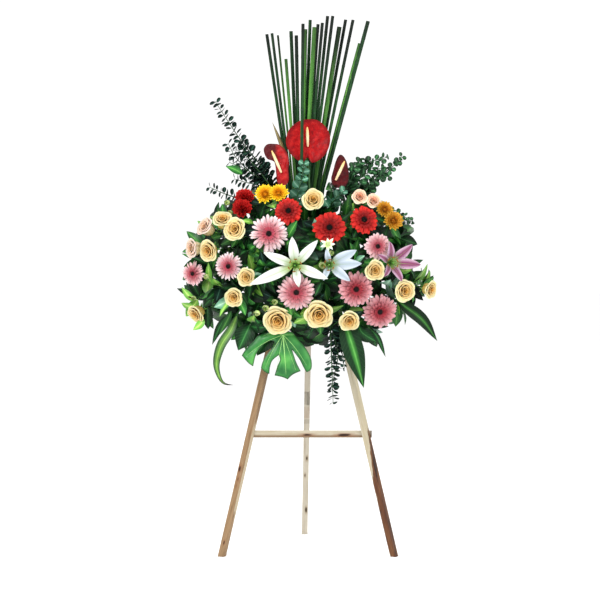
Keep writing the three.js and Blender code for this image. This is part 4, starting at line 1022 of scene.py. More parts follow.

# %% [markdown]
# ## Anthuriums
# The red shield of an anthurium is a single waxy leaf, the spathe. It is cupped, with veins that sweep from
# the foot of the spadix to the edge, and the skin puckers between them. Wax is glossy, but a white studio that
# is mirrored in it washes out the deep red, so the gloss is kept low and pale flecks in the paint stand in as
# painted highlights. Painted shade darkens each rolled rim, the rolled left edge of the left spathe and the
# whole right spathe. The spadix is a finger of tiny bumps.

# %% Outlines
SPATHES = {
    "centre": ([0, -100, 1148], [0.06, -1, 0.12], [[-1, -16], [-3, 37]], [
        [10, 60], [34, 52], [54, 30], [61, 2], [52, -30], [32, -52], [10, -61],
        [-2, -46], [-16, -60], [-40, -46], [-57, -22], [-61, 4], [-50, 34], [-22, 55]]),
    "left": ([-78, -124, 1086], [-0.3, -1, 0.3], [[9, -30], [-20, 30]], [
        [-20, 54], [-39, 52], [-48, 36], [-38, 13], [-20, 6], [-14, -3], [-8, -31], [0, -59],
        [22, -67], [31, -53], [26, -20], [25, 3], [17, 31], [-3, 50]]),
    "right": ([90, -120, 1061], [0.3, -1, 0.15], [[-17, -24], [7, 28]], [
        [0, 48], [-11, 34], [-20, 6], [-28, -20], [-22, -39], [-6, -45], [11, -39], [22, -22], [23, 11], [14, 39]]),
}
SPATHE_CUP = 0.0022


def smooth_outline(corners, steps, sharp=()):
    """A closed smooth line through the corners. The sharp ones stay as they are."""
    corners = np.asarray(corners, float)
    count = len(corners)
    t = np.linspace(0, 1, steps, endpoint=False)[:, None]
    parts = []
    for i in range(count):
        b, c = corners[i], corners[(i + 1) % count]
        a = b if i in sharp else corners[i - 1]
        d = c if (i + 1) % count in sharp else corners[(i + 2) % count]
        parts.append(curve_between(a, b, c, d, t))
    return np.vstack(parts)


print(len(SPATHES), "outlines of spathes")

# %% Spathe
def spathe(pile, seat, outline, foot, tip):
    rim = smooth_outline(outline, 7)
    shares = np.linspace(0.02, 1, 16)
    flat = shares[:, None, None] * rim[None]
    from_foot = flat - np.array(foot)
    axis = np.array(tip) - np.array(foot)
    angle = np.arctan2(from_foot[..., 1], from_foot[..., 0]) - math.atan2(axis[1], axis[0])
    far = np.linalg.norm(from_foot, axis=-1)
    sweep = angle + 0.004 * far * np.sign(np.sin(angle)) * np.abs(np.sin(angle))
    vein = np.abs(np.sin(sweep * 4.5)) * np.minimum(far / 12, 1)
    pucker = 1.5 * vein + 0.6 * np.sin(far / 2.9 + 2 * np.sin(angle * 3)) * vein
    cup = SPATHE_CUP * (flat**2).sum(-1)
    roll = 1.6 * np.clip((shares - 0.9) / 0.1, 0, 1)[:, None] ** 2
    front = np.concatenate([flat, (cup + pucker - 0.4 - roll)[..., None]], -1)
    back = np.concatenate([flat, (cup + pucker - 1.6 - roll * 0.6)[..., None]], -1)
    edge = np.concatenate([flat[-1] * 1.012, (cup + pucker - 1.0 - roll * 0.8)[-1][:, None]], -1)
    pile.add(seat.put(front), (0.5, 0.0), 0, True)
    pile.add(seat.put(back), (0.5, 1.0), 0, True)
    pile.add(seat.put(np.stack([front[-1], edge, back[-1]])), (0.5, 0.5), 0, True)


print("a spathe has a front, a back and a rounded edge")

# %% Spathe paint
def spathe_paint(name, deep, bright, sheen, dark_before=None):
    """The paint of a spathe, with painted highlights in its palest flecks and painted shade towards its rim. What
    lies further left than dark_before is a rolled edge in its own shadow, painted as shade.
    """
    paint = Paint(name, roughness=0.4, Specular_IOR_Level=0.12)
    _, along = paint.maps("petal")
    flecks = paint.noise(paint.place(), 75.0, 5.0, 0.65)
    # The palest flecks are painted highlights of the wax.
    body = paint.ramp(flecks, [(0.2, deep), (0.5, bright), (0.85, sheen)])
    if dark_before:
        side = paint.node("SeparateXYZ", {0: paint.node("TexCoord").outputs["Object"]}).outputs[0]
        body = paint.mix(paint.level(side, dark_before + 0.01, dark_before, 0.0, 0.9), body, deep)
    # Towards the rolled rim the spathe is painted darker: painted shade.
    paint.colour(paint.mix(paint.level(along, 0.75, 1.0, 0.0, 0.6), body, deep))
    paint.bump(paint.noise(paint.place(), 180.0, 4.0), 0.002, 0.6)
    return paint


RED_SPATHE = spathe_paint("red spathe", from_hex("4c0308"), from_hex("9a060c"), from_hex("c82a24"))
LEFT_SPATHE = spathe_paint("left spathe", from_hex("40040a"), from_hex("9a060c"), from_hex("cc3a34"), -0.088)
# The right spathe is the same red as the others, painted darker all over as painted shade.
SHADED_SPATHE = spathe_paint("shaded red spathe", from_hex("220306"), from_hex("4e070d"), from_hex("782626"))
for name, (middle, facing, (foot, tip), outline) in SPATHES.items():
    pile = Pile()
    spathe(pile, Seat(middle, facing), outline, foot, tip)
    node = "anthurium_" + name
    paint = {"centre": RED_SPATHE, "left": LEFT_SPATHE, "right": SHADED_SPATHE}[name]
    pile.make(node + "_spathe", [node], "spathe_red", [paint])
    blocking.append(pile)
    print(node, round(missed_by(pile, node), 1), "mm off")

# %% Spadix
spadix_paint = Paint("spadix", roughness=0.6)
_, along_spadix = spadix_paint.maps("petal")
spadix_paint.colour(spadix_paint.ramp(
    along_spadix, [(0.0, from_hex("efc79a")), (0.5, from_hex("f6e3b4")), (1.0, from_hex("e9b96a"))]))
spadix_paint.bump(spadix_paint.noise(spadix_paint.place(), 700.0, 2.0), 0.0003)

for name, (middle, facing, (foot, tip), outline) in SPATHES.items():
    node = "spadix_" + name
    seat = Seat(middle, facing)
    lift = SPATHE_CUP * (foot[0] ** 2 + foot[1] ** 2) + 2
    t = np.linspace(0, 1, 46)[:, None]
    path = np.array([*foot, lift]) + t * (np.array([*tip, lift + 15]) - np.array([*foot, lift]))
    radii = np.interp(t[:, 0], [0, 0.35, 0.8, 0.97, 1], [2.6, 4, 3.6, 1.8, 0.2])
    grid = stem(path, radii, 20)
    centre = path[:, None]
    beads = 1 + 0.07 * np.where((np.arange(46)[:, None] + np.arange(20)[None, :]) % 2, 1, -1)
    grid = seat.put(centre + (grid - centre) * beads[..., None])
    low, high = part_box(node)
    grid += np.array((low + high) / 2) - (grid.min((0, 1)) + grid.max((0, 1))) / 2
    pile = Pile()
    pile.add(grid, (0.5, 0.5), 0, True)
    pile.make(node + "_finger", [node], "spadix_cream", [spadix_paint])
    print(node, "set on the middle of the model's")

# %% [markdown]
# ## Reeds
# Horsetail is a hollow, fluted stem with a dark sheath at every joint, and its tips are almost black. The reeds
# leave the foam close together and part above the blooms. Each one is a fluted stem that is flared at its
# joints.

# %% Foam roots
LEAN = math.atan2(200, 1029)
FRONT_FEET_Y = -200
FOAM_BACK = -14.9
FOAM_BASE = 725


def in_lean(x, y, z):
    """A point beside the leaning legs, carried into the plan."""
    c, s = math.cos(LEAN), math.sin(LEAN)
    return np.array([x, FRONT_FEET_Y + y * c + z * s, z * c - y * s])


def foam_root(across, depth, height, way):
    return in_lean(across, FOAM_BACK - depth, FOAM_BASE + height), unit(way)


print("middle of the foam's top at", foam_root(0, 45, 200, UP)[0].round(), "mm")

# %% Reeds
# For each reed: the place across and height of its tip, its depth there, and its radius
REEDS = {
    "reeds_left": (foam_root(-46, 38, 200, [-0.12, 0.05, 1]), [
        (-116, 1450, -40, 4.5), (-101, 1450, -70, 4), (-85, 1448, -30, 3), (-62, 1378, -75, 4.5),
        (-48, 1459, -35, 5), (-33, 1445, -60, 5)]),
    "reeds_centre": (foam_root(-6, 38, 200, [0, 0.05, 1]), [
        (-14, 1470, -138, 4.5), (-8, 1463, -50, 6), (6, 1492, -20, 4.5), (18, 1467, -70, 6),
        (28, 1478, -40, 4.5), (40, 1478, -80, 4.5)]),
    "reeds_right": (foam_root(36, 38, 200, [0.12, 0.05, 1]), [
        (55, 1500.8, -40, 4.5), (69, 1498, -70, 4.5), (88, 1470, -45, 6.5), (106, 1492, -25, 4.5),
        (126, 1488, -60, 4.5), (144, 1425, -35, 3.5), (168, 1484, -65, 5.5)]),
}
FORK_HEIGHT = 1010
JOINT_PITCH = 72
LIGHT_REEDS = {-62, -8, 18, 88, 144, -85}  # the broad fresh ones, by their place across


def reed_path(root, way, x, z, y):
    start = root + np.array([0.02 * x, 0, 0]) + way * 5
    fork = np.array([0.32 * x - 14, 0.8 * y - 13.2, FORK_HEIGHT])
    end = np.array([x, y, z])
    before = fork + unit(start - fork) * 25
    after = fork + unit(end - fork) * 25
    lower = np.linspace(start, before, 6, endpoint=False)
    bend = np.array([bezier(t, before, fork, fork, after) for t in np.linspace(0, 1, 6, endpoint=False)])
    length = np.linalg.norm(end - after)
    stations = sorted({0.0, length, *np.arange(0, length, 24.0)} | {
        joint + d for joint in np.arange(35 + x % 30, length - 9, JOINT_PITCH) for d in (-2, -0.5, 1, 2.5, 5)})
    upper = after + np.array(stations)[:, None] / length * (end - after)
    swell = np.ones(len(stations))
    for k, at in enumerate(stations):
        past = (at - 35 - x % 30) % JOINT_PITCH
        swell[k] = 1.03 if 0.5 < past < 6 and at > 20 else 1.0
    return np.vstack([lower, bend, upper]), np.concatenate([np.linspace(0.8, 1, 12), swell])


print(sum(len(reeds) for _, reeds in REEDS.values()), "reeds")

# %% Reed paint
def reed_paint(name, fresh):
    paint = Paint(name, roughness=0.5, Specular_IOR_Level=0.15)
    height = paint.node("SeparateXYZ", {0: paint.node("TexCoord").outputs["Object"]}).outputs[2]
    chance, _ = paint.maps("tone")
    streak = paint.noise(paint.place(size=(1, 1, 30)), 220.0, 3.0, 0.6)
    body = paint.ramp(streak, fresh)
    wobble = paint.maths("ADD", height, paint.level(chance, 0, 1, -0.1, 0.1))
    body = paint.mix(paint.level(wobble, 1.3, 1.5, 0.0, 0.93), body, from_hex("0b120f"))
    paint.colour(body)
    paint.bump(streak, 0.0008, 0.6)
    return paint


DARK_REED = reed_paint(
    "dark reed", [(0.3, from_hex("081a0e")), (0.55, from_hex("173c1c")), (0.75, from_hex("356630"))]
)
LIGHT_REED = reed_paint(
    "fresh reed", [(0.3, from_hex("2c5a26")), (0.55, from_hex("528a3a")), (0.8, from_hex("86b060"))]
)
SHEATH = reed_paint("reed sheath", [(0.3, from_hex("12241a")), (0.7, from_hex("2c4a30"))])


def widened(rings, share):
    """Rings of points, each drawn out from its own middle."""
    middle = rings.mean(-2, keepdims=True)
    return middle + (rings - middle) * share


for node, ((root, way), reeds) in REEDS.items():
    pile = Pile()
    chance = dice(node)
    for x, z, y, radius in reeds:
        path, swell = reed_path(root, way, x, z, y)
        grid = plan(0, 0, 0) + MM * stem(path, radius * swell * 0.96, 20, ribs=0.07)
        tone = (chance.random(), 0.5)
        pile.add(grid, tone, int(x in LIGHT_REEDS), True)
        for k in np.flatnonzero(swell[:-1] > 1.01):
            if swell[k + 1] > 1.01 and x not in LIGHT_REEDS:
                pile.add(widened(grid[k : k + 2], 1.03), tone, 2, True)
        cap = np.stack([grid[-1], widened(grid[-1], 0.05) - UP * MM])
        pile.add(cap, tone, 2, True)
    foot = np.array([root - way * 45, root, root + way * 13, root + way * 14])
    pile.add(plan(0, 0, 0) + MM * stem(foot, [7.6, 7.6, 7.4, 1], 14, ribs=0.04), (0.5, 0.5), 2, True)
    pile.make(node + "_stalks", [node], "reed_green", [DARK_REED, LIGHT_REED, SHEATH])
    blocking.append(pile)
    print(node, pile.count, "points,", round(missed_by(pile, node), 1), "mm off")

# %% [markdown]
# ## Leaf paint
# Leaves use the same two maps as petals. Most are darker at the edge and paler along the midrib, with side
# veins that slant away from it. Side veins are stripes across the leaf, bent by how far a point is from the
# midrib. For a leaf, the second number of the second map is painted shade: a leaf that lies deep in the dome
# is painted darker. Wax gives foliage its small hard highlights, so its roughness is lower than that of petals.

# %% Leaf paint
VEIN_SLANT = 5.0


def leaf_paint(
    name, edge, middle, rib, stripe=(0.06, 0.3), roughness=0.38, veins=9.0, gloss=0.38, strength=0.22,
    dry_tip=False,
):
    paint = Paint(name, roughness=roughness, Specular_IOR_Level=gloss)
    across, along = paint.maps("petal")
    chance, shade = paint.maps("tone")
    off_middle = paint.maths("ABSOLUTE", paint.maths("SUBTRACT", across, 0.5))
    body = paint.mix(paint.level(off_middle, *stripe), middle, edge)
    slant = paint.maths("ADD", along, paint.maths("MULTIPLY", off_middle, -VEIN_SLANT / veins))
    wave = paint.maths("SINE", paint.maths("MULTIPLY", slant, veins * 2 * math.pi))
    vein = paint.level(wave, 0.86, 1.0)
    blotch = paint.noise(paint.place(), 55.0, 4.0, 0.6)
    line = paint.level(off_middle, 0.012, 0.05, 1.0, 0.0)
    body = paint.mix(paint.maths("MULTIPLY", vein, strength), body, rib)
    body = paint.mix(paint.maths("MULTIPLY", line, 0.8), body, rib)
    if dry_tip:
        body = paint.mix(paint.level(along, 0.78, 0.93), body, from_hex("1c1610"))
    light = paint.level(chance, 0, 1, 0.55, 1.45)
    light = paint.maths("MULTIPLY", light, paint.level(blotch, 0.3, 0.7, 0.8, 1.15))
    # The second number of the tone map is painted shade for leaves that lie deep in the dome.
    light = paint.maths("MULTIPLY", light, shade)
    paint.colour(paint.node("HueSaturation", {"Color": body, "Value": light}).outputs[0])
    paint.rough(paint.level(blotch, 0.3, 0.7, roughness - 0.06, roughness + 0.12))
    paint.bump(paint.maths("SUBTRACT", paint.maths("MULTIPLY", blotch, 0.6), vein), 0.001, 0.3)
    return paint


DARK_LEAF = leaf_paint("dark leaf", from_hex("06200c"), from_hex("15481e"), from_hex("3c7a3c"), gloss=0.16)
MID_LEAF = leaf_paint("green leaf", from_hex("19561f"), from_hex("37862f"), from_hex("7cb45c"), gloss=0.25)
LIME_LEAF = leaf_paint("young leaf", from_hex("5a9a34"), from_hex("8cc04a"), from_hex("c4dc88"))
BLUE_LEAF = leaf_paint(
    "eucalyptus leaf", from_hex("071914"), from_hex("14362b"), from_hex("4c7664"), roughness=0.6, gloss=0.14
)
STALK = leaf_paint("stalk green", from_hex("1f4a22"), from_hex("356a30"), from_hex("356a30"), stripe=(0.0, 0.5))
MINT_LEAF = leaf_paint("mint leaf", from_hex("5f9478"), from_hex("8fbca0"), from_hex("c4dfc8"), roughness=0.6)
GREENS = [DARK_LEAF, MID_LEAF, LIME_LEAF, BLUE_LEAF, MINT_LEAF]
DARK, MID, LIME, BLUE, MINT = range(5)
print(len(GREENS), "greens")

# %% [markdown]
# ## The big single leaves
# A few broad leaves, dark with a pale stripe, hang out of the spray below and at the sides, and long narrow
# ones curl at their tips. Young ones at the left are lime green, and six lie over the front of the foam's top.
# Each is a grid along its own middle line, folded a little, with a wavy edge.

# %% Single leaves
# For each leaf: bunch, half width, green, the way it faces, and its middle line
SINGLE_LEAVES = [
    ("stems_low", 29, "striped", [-0.3, -1, 0.3],
     [[96, -212, 662], [110, -228, 620], [130, -236, 555], [153, -225, 468]]),
    ("stems_low_right", 17, "striped", [-0.3, -1, 0.5],
     [[246, -180, 706], [268, -194, 690], [316, -192, 652], [357, -178, 594]]),
    ("stems_low_right", 7, "dark", [0.2, -1, 0.2], [[168, -185, 632], [192, -195, 604], [214, -185, 550]]),
    ("stems_low_right", 20, "dark", [0.2, -1, 0.2], [[140, -190, 640], [150, -200, 618], [190, -196, 592]]),
    ("stems_low_left", 12.5, "strap", [-0.2, -1, 0.1],
     [[-196, -186, 665], [-212, -198, 626], [-238, -204, 585], [-251, -205, 540],
      [-247, -205, 506], [-232, -204, 480], [-204, -203, 474]]),
    ("stems_low_left", 27, "dark", [-0.2, -1, 0], [[-160, -196, 640], [-170, -206, 618], [-192, -208, 570]]),
    ("stems_low", 26, "dark", [-0.2, -1, 0.3], [[-104, -202, 626], [-116, -214, 600], [-140, -214, 556]]),
    ("stems_low_left", 11, "dark", [-0.2, -1, 0.6],
     [[-300, -140, 712], [-325, -136, 722], [-366, -122, 738]]),
    ("stems_left", 10, "dark", [-0.2, -1, 0.6], [[-262, -146, 802], [-290, -140, 812], [-326, -128, 826]]),
    ("stems_left", 8, "green", [-0.2, -1, 0.6], [[-292, -120, 818], [-318, -108, 824], [-354, -95, 834]]),
    ("stems_left", 9, "green", [-0.2, -1, 0.4], [[-236, -150, 900], [-256, -142, 916], [-284, -134, 936]]),
    ("stems_right", 9, "dark", [0.3, -1, 0.4], [[268, -160, 802], [290, -154, 808], [320, -146, 818]]),
    ("stems_right", 8, "dark", [0.3, -1, 0.4], [[250, -160, 880], [266, -154, 886], [288, -146, 892]]),
    ("stems_low_left", 9, "green", [0, -1, 0.3], [[-212, -168, 676], [-224, -166, 650], [-246, -162, 610]]),
    ("stems_low_left", 9, "dark", [0, -1, 0.3], [[-226, -160, 662], [-244, -158, 634], [-266, -156, 582]]),
    ("stems_low_left", 9, "green", [0, -1, 0.3], [[-200, -168, 662], [-206, -166, 640], [-222, -160, 600]]),
    ("stems_left", 8, "lime", [0.2, -1, 0.2], [[-270, -180, 758], [-274, -190, 786], [-274, -190, 812]]),
    ("stems_low_left", 9, "lime", [-0.2, -1, 0.4], [[-316, -142, 704], [-332, -140, 718], [-352, -130, 742]]),
    ("stems_low_left", 8, "lime", [-0.2, -1, 0.4], [[-318, -150, 690], [-334, -150, 690], [-352, -142, 698]]),
    ("stems_low_left", 10, "lime", [0, -1, 0.3], [[-288, -176, 655], [-298, -178, 640], [-318, -172, 624]]),
    ("eucalyptus_left", 11, "green", [-0.2, -1, 0.5],
     [[-184, -84, 1058], [-206, -90, 1070], [-230, -88, 1078]]),
    ("stems_top", 15, "dark", [0, -0.4, 1], [[-58, -104, 924], [-58, -142, 958], [-74, -190, 966]]),
    ("stems_top", 16, "dark", [0, -0.4, 1], [[-34, -104, 924], [-34, -142, 958], [-44, -190, 966]]),
    ("stems_top", 15, "green", [0, -0.4, 1], [[-10, -104, 924], [-10, -142, 958], [-16, -190, 966]]),
    ("stems_top", 16, "dark", [0, -0.4, 1], [[14, -104, 924], [14, -142, 958], [20, -190, 966]]),
    ("stems_top", 15, "dark", [0, -0.4, 1], [[38, -104, 924], [38, -142, 958], [50, -190, 966]]),
    ("stems_top", 15, "green", [0, -0.4, 1], [[60, -104, 924], [60, -142, 958], [82, -190, 966]]),
]
STRIPED_LEAF = leaf_paint(
    "striped leaf", from_hex("0a2a12"), from_hex("32742c"), from_hex("5ea04c"), stripe=(0.06, 0.2), roughness=0.4,
    gloss=0.16, veins=16.0, strength=0.06,
)
STRAP_LEAF = leaf_paint(
    "strap leaf", from_hex("12401c"), from_hex("6a9e3a"), from_hex("9cc058"), stripe=(0.05, 0.4), veins=1.0,
    dry_tip=True,
)
LEAF_KINDS = {"striped": STRIPED_LEAF, "strap": STRAP_LEAF, "dark": DARK_LEAF, "green": MID_LEAF, "lime": LIME_LEAF}
fine = {}  # the fine leaves of each bunch, which stand for the plain ones of the model


def widths_along(count, half_width, early=0.8):
    t = np.linspace(0, 1, count)
    return half_width * np.maximum(np.sin(np.pi * np.minimum(t**early, 1)), 0.0) + 1.6 * (1 - t)


print(len(SINGLE_LEAVES), "leaves to lay")

# %% Lay the single leaves
for bunch, half_width, kind, facing, corners in SINGLE_LEAVES:
    path = smooth_path(corners, 30)
    chance = dice(bunch + str(corners[0][0]))
    wave = 0.03 if kind == "strap" else 0.05
    early = 0.62 if kind == "strap" else 0.8
    grid = leaf(path, widths_along(30, half_width, early), unit(facing), 13, fold=0.16, wave=wave, groove=0.05)
    grid = plan(0, 0, 0) + MM * grid
    pile = Pile()
    pile.add(grid, (chance.random(), 1.0))
    fine.setdefault(bunch, []).append((pile, LEAF_KINDS[kind], kind))
print(sum(len(leaves) for leaves in fine.values()), "single leaves")

# %% [markdown]
# ## Eucalyptus
# Eucalyptus carries round waxy leaves in pairs, each pair a quarter turn from the last. On the long twigs they
# lie across the line of sight and show as short dark bars. On the broad ones they face forward.

# %% Eucalyptus
# For each twig: bunch, leaf length, whether its leaves are seen from the edge, and its middle line
TWIGS = [
    ("eucalyptus_left", 23, True,
     [[-84, -84, 1005], [-118, -82, 1062], [-158, -82, 1112], [-196, -80, 1162], [-261, -78, 1261]]),
    ("eucalyptus_left", 22, True,
     [[-112, -56, 1005], [-163, -52, 1063], [-202, -46, 1102], [-226, -40, 1145]]),
    ("eucalyptus_left", 20, True, [[-170, -80, 978], [-200, -78, 990], [-240, -76, 1004], [-276, -74, 1020]]),
    ("eucalyptus_left", 22, True,
     [[-92, -80, 1010], [-130, -74, 1042], [-178, -68, 1072], [-222, -66, 1090]]),
    ("eucalyptus_left", 23, True,
     [[-96, -74, 1010], [-140, -66, 1026], [-176, -62, 1034], [-208, -60, 1044]]),
    ("eucalyptus_left", 21, True,
     [[-108, -60, 1015], [-136, -58, 1066], [-170, -56, 1104], [-204, -54, 1128]]),
    ("eucalyptus_right", 23, False, [[104, -80, 1008], [140, -72, 1040], [176, -66, 1066], [206, -62, 1074]]),
    ("eucalyptus_right", 22, False, [[104, -80, 1008], [112, -84, 1040], [126, -84, 1070], [150, -82, 1096]]),
    ("eucalyptus_right", 21, False, [[152, -58, 1002], [170, -66, 1030], [200, -68, 1048], [226, -66, 1052]]),
    ("eucalyptus_right", 23, False, [[100, -84, 1005], [128, -72, 1050], [160, -62, 1086], [222, -54, 1104]]),
    ("eucalyptus_right", 20, False, [[150, -56, 1000], [196, -56, 1046], [240, -56, 1080], [264, -56, 1106]]),
    ("eucalyptus_right", 18, False, [[180, -70, 965], [232, -74, 952], [266, -80, 940], [292, -84, 922]]),
    ("eucalyptus_centre", 23, False,
     [[-34, -130, 968], [-26, -140, 1010], [-16, -142, 1050], [-12, -138, 1084]]),
    ("eucalyptus_centre", 22, False, [[58, -130, 960], [74, -150, 985], [96, -160, 1006]]),
    ("eucalyptus_left", 21, True,
     [[-96, -90, 1010], [-126, -88, 1052], [-150, -88, 1080], [-186, -86, 1130]]),
    ("eucalyptus_hanging", 21, True, [[60, -196, 660], [63, -212, 590], [66, -216, 510], [69, -214, 424]]),
    ("eucalyptus_hanging", 17, True, [[64, -196, 640], [76, -206, 590], [82, -210, 550], [62, -206, 462]]),
    ("eucalyptus_hanging", 14, False, [[84, -190, 600], [94, -204, 560], [100, -212, 520]]),
]
TWIG_PITCH = 10
MINT_TWIG = leaf_paint(
    "pale eucalyptus leaf", from_hex("2f6a4e"), from_hex("5c987a"), from_hex("a8ccb4"), roughness=0.6
)
GREEN_TWIG = leaf_paint(
    "green eucalyptus leaf", from_hex("12381e"), from_hex("2c6a38"), from_hex("6fa070"), roughness=0.55
)
TWIG_GREENS = {
    "eucalyptus_left": BLUE_LEAF, "eucalyptus_hanging": BLUE_LEAF, "eucalyptus_centre": MINT_TWIG,
    "eucalyptus_right": GREEN_TWIG,
}


def round_leaf(foot, way, facing, length, chance):
    """A cupped round leaf on a short stalk."""
    t = np.linspace(0, 1, 9)
    far = foot + way * length
    path = foot + (far - foot) * t[:, None] + facing * (0.12 * length * (t**2))[:, None]
    past_stalk = np.clip(t * 1.12 - 0.12, 0, 1)
    blade = np.sqrt(np.maximum(1 - (2 * past_stalk - 1) ** 2, 0))
    widths = 0.47 * length * blade + 0.5 * (1 - t)
    return leaf(path, widths, facing, 7, fold=chance.uniform(0.1, 0.3))


print(len(TWIGS), "twigs to grow")

# %% Grow the twigs
for bunch, size, on_edge, corners in TWIGS:
    line = smooth_path(corners, 60)
    ways = ways_along(line)
    length = float(np.linalg.norm(np.diff(line, axis=0), axis=1).sum())
    chance = dice(bunch + str(corners[-1][0]))
    pile = Pile()
    pile.add(plan(0, 0, 0) + MM * stem(line, np.linspace(2.4, 0.8, 60), 8), (0.3, 0.8), 1, True)
    pairs = int(0.9 * length / TWIG_PITCH)
    for i in range(pairs + 1):
        k = int(round((0.04 + 0.94 * i / pairs) * 59))
        t = k / 59
        way = ways[k]
        across = unit(np.cross(way, FRONT))
        depth = np.cross(across, way)
        turn = chance.uniform(-0.35, 0.35) + (math.pi / 2 if i % 2 else 0) * (0.45 if on_edge else 1)
        out = math.cos(turn) * across + math.sin(turn) * depth
        reach = size * (1.2 - 0.5 * t) * chance.uniform(0.85, 1.15)
        for side in (1, -1):
            if on_edge:
                facing = unit(way + 0.5 * FRONT + 0.3 * chance.normal(size=3))
                lift = 0.2
            else:
                facing = unit(0.4 * way - 0.8 * depth * np.sign(depth[1]) + 0.5 * chance.normal(size=3))
                lift = 0.55
            go = unit(side * out + lift * way + 0.12 * chance.normal(size=3))
            grid = round_leaf(line[k] + go * 1.5, go, unit(facing - go * facing.dot(go)), reach, chance)
            pile.add(plan(0, 0, 0) + MM * grid, (chance.random(), chance.uniform(0.75, 1.15)))
    fine.setdefault(bunch, []).append((pile, TWIG_GREENS[bunch], "twig"))
print(len(TWIGS), "twigs with a pair of leaves every", TWIG_PITCH, "mm")

# %% [markdown]
# ## Split leaf
# The large split leaf below the front is cut nearly to its midrib between curved lobes. Such an outline can't
# be made from one grid, so points are spread inside it and joined to triangles that keep to its edge, and each
# triangle is then cut into three four-sided faces. The blade arches back at its sides and puffs up a little
# between its ribs.

# %% Split leaf outline
from mathutils.geometry import delaunay_2d_cdt

SPLIT_MIDDLE = [-66, -232, 585]
SPLIT_FACING = [0.05, -1, 0.25]
SPLIT_OUTLINE = [
    [-65, 32], [-24, 40], [3, 40], [24, 37], [39, 18], [54, 2], [68, -19], [76, -40], [75, -63], [62, -72],
    [54, -60], [44, -40], [32, -23], [23, -12], [29, -32], [35, -48], [46, -69], [24, -79], [10, -92], [-4, -86],
    [-26, -81], [-19, -58], [-11, -39], [-14, -26], [-31, -40], [-38, -58], [-40, -77], [-51, -72], [-63, -60],
    [-57, -40], [-41, -16], [-24, 3], [-29, 14], [-45, 12], [-65, -5], [-77, -26], [-84, -55], [-98, -44],
    [-115, -23], [-103, -5], [-84, 14],
]
SHARP = {9, 13, 16, 18, 20, 23, 26, 28, 32, 36, 38}  # tips of the lobes and ends of the cuts
RIB_TIPS = [[-106, -28], [-54, -64], [6, -86], [66, -60], [-60, 26], [30, 30], [34, -72], [-22, -74]]
RIB_FOOT = np.array([-2, 30])


def split_height(x, y):
    return -0.0016 * x**2 - 0.0012 * np.where(y < 0, y**2, 0)


def inside(points, loop):
    """Whether points lie inside a loop: a level line from such a point crosses it an odd number of times."""
    ahead = np.roll(loop, -1, axis=0)
    x, y = points[:, :1], points[:, 1:]
    rises = (loop[:, 1] > y) != (ahead[:, 1] > y)
    cut = loop[:, 0] + (y - loop[:, 1]) / (ahead[:, 1] - loop[:, 1] + 1e-9) * (ahead[:, 0] - loop[:, 0])
    return (rises & (x < cut)).sum(1) % 2 == 1


def far_from(points, line):
    return np.linalg.norm(points[:, None] - line[None], axis=-1).min(1)


def rib_line(tip):
    t = np.linspace(0, 0.94, 20)[:, None]
    line = RIB_FOOT + (np.array(tip) - RIB_FOOT) * t
    line[:, 1] += 7 * np.sin(np.pi * t[:, 0]) * (abs(tip[0]) > 40)
    return line


# %% Split leaf
rim = smooth_outline(SPLIT_OUTLINE, 6, sharp=SHARP)
steps = np.arange(-120, 90, 4.5)
grid = np.array([[x + 2.2 * (k % 2), y] for k, y in enumerate(np.arange(-95, 45, 4.0)) for x in steps])
grid = grid[inside(grid, rim) & (far_from(grid, rim) > 2.2)]
corners = [Vector(p) for p in np.vstack([rim, grid])]
loop = list(range(len(rim)))
spots, _, faces = delaunay_2d_cdt(corners, [], [loop], 1, 1e-5)[:3]
flat, faces = np.array([s[:] for s in spots]), np.array([list(f) for f in faces])
edges = np.sort(np.concatenate([faces[:, [0, 1]], faces[:, [1, 2]], faces[:, [2, 0]]]), axis=1)
pairs, which = np.unique(edges, axis=0, return_inverse=True)
which = which.reshape(3, -1).T + len(flat)
middle = np.arange(len(faces)) + len(flat) + len(pairs)
quads = np.concatenate([
    np.column_stack([faces[:, i], which[:, i], middle, which[:, (i + 2) % 3]]) for i in range(3)])
flat = np.vstack([flat, flat[pairs].mean(1), flat[faces].mean(1)])
ribs = [rib_line(tip) for tip in RIB_TIPS]
to_rib = far_from(flat, np.vstack(ribs))
to_edge = far_from(flat, smooth_outline(SPLIT_OUTLINE, 20, sharp=SHARP))
height = split_height(flat[:, 0], flat[:, 1]) + 1.8 * (1 - np.exp(-((to_rib / 6) ** 2)))
height = height - 2.2 * np.exp(-((to_edge / 4) ** 2))
seat = Seat(SPLIT_MIDDLE, SPLIT_FACING)
pile = Pile()
way = np.column_stack([np.full(len(flat), 0.5), 1 - np.clip(to_edge / 16, 0, 1)])
pile.keep(seat.put(np.column_stack([flat, height])), quads, way[quads].reshape(-1, 2), (0.5, 1.0), 0)
for line, tip in zip(ribs, RIB_TIPS):
    top = split_height(line[:, 0], line[:, 1]) + 0.5
    thick = 2.4 if tip == [6, -86] else 1.0
    rib = stem(np.column_stack([line, top]), np.linspace(thick, 0.3, 20), 6)
    pile.add(seat.put(rib), (0.8, 1.0), 1, True)


print("the rim of the split leaf has", len(rim), "points")

# %% Split leaf paint
def split_paint():
    paint = Paint("split leaf", roughness=0.36, Specular_IOR_Level=0.35)
    _, along = paint.maps("petal")
    blotch = paint.noise(paint.place(), 18.0, 3.0, 0.5)
    body = paint.ramp(blotch, [(0.35, from_hex("1c5f2a")), (0.5, from_hex("2f7d34")), (0.65, from_hex("4f9c44"))])
    # Towards its edge, where the blade turns down, the leaf is painted darker: painted shade.
    paint.colour(paint.mix(paint.level(along, 0.7, 1.0, 0.0, 0.9), body, from_hex("08280f")))
    paint.bump(paint.noise(paint.place(), 120.0, 3.0), 0.0008, 0.5)
    return paint


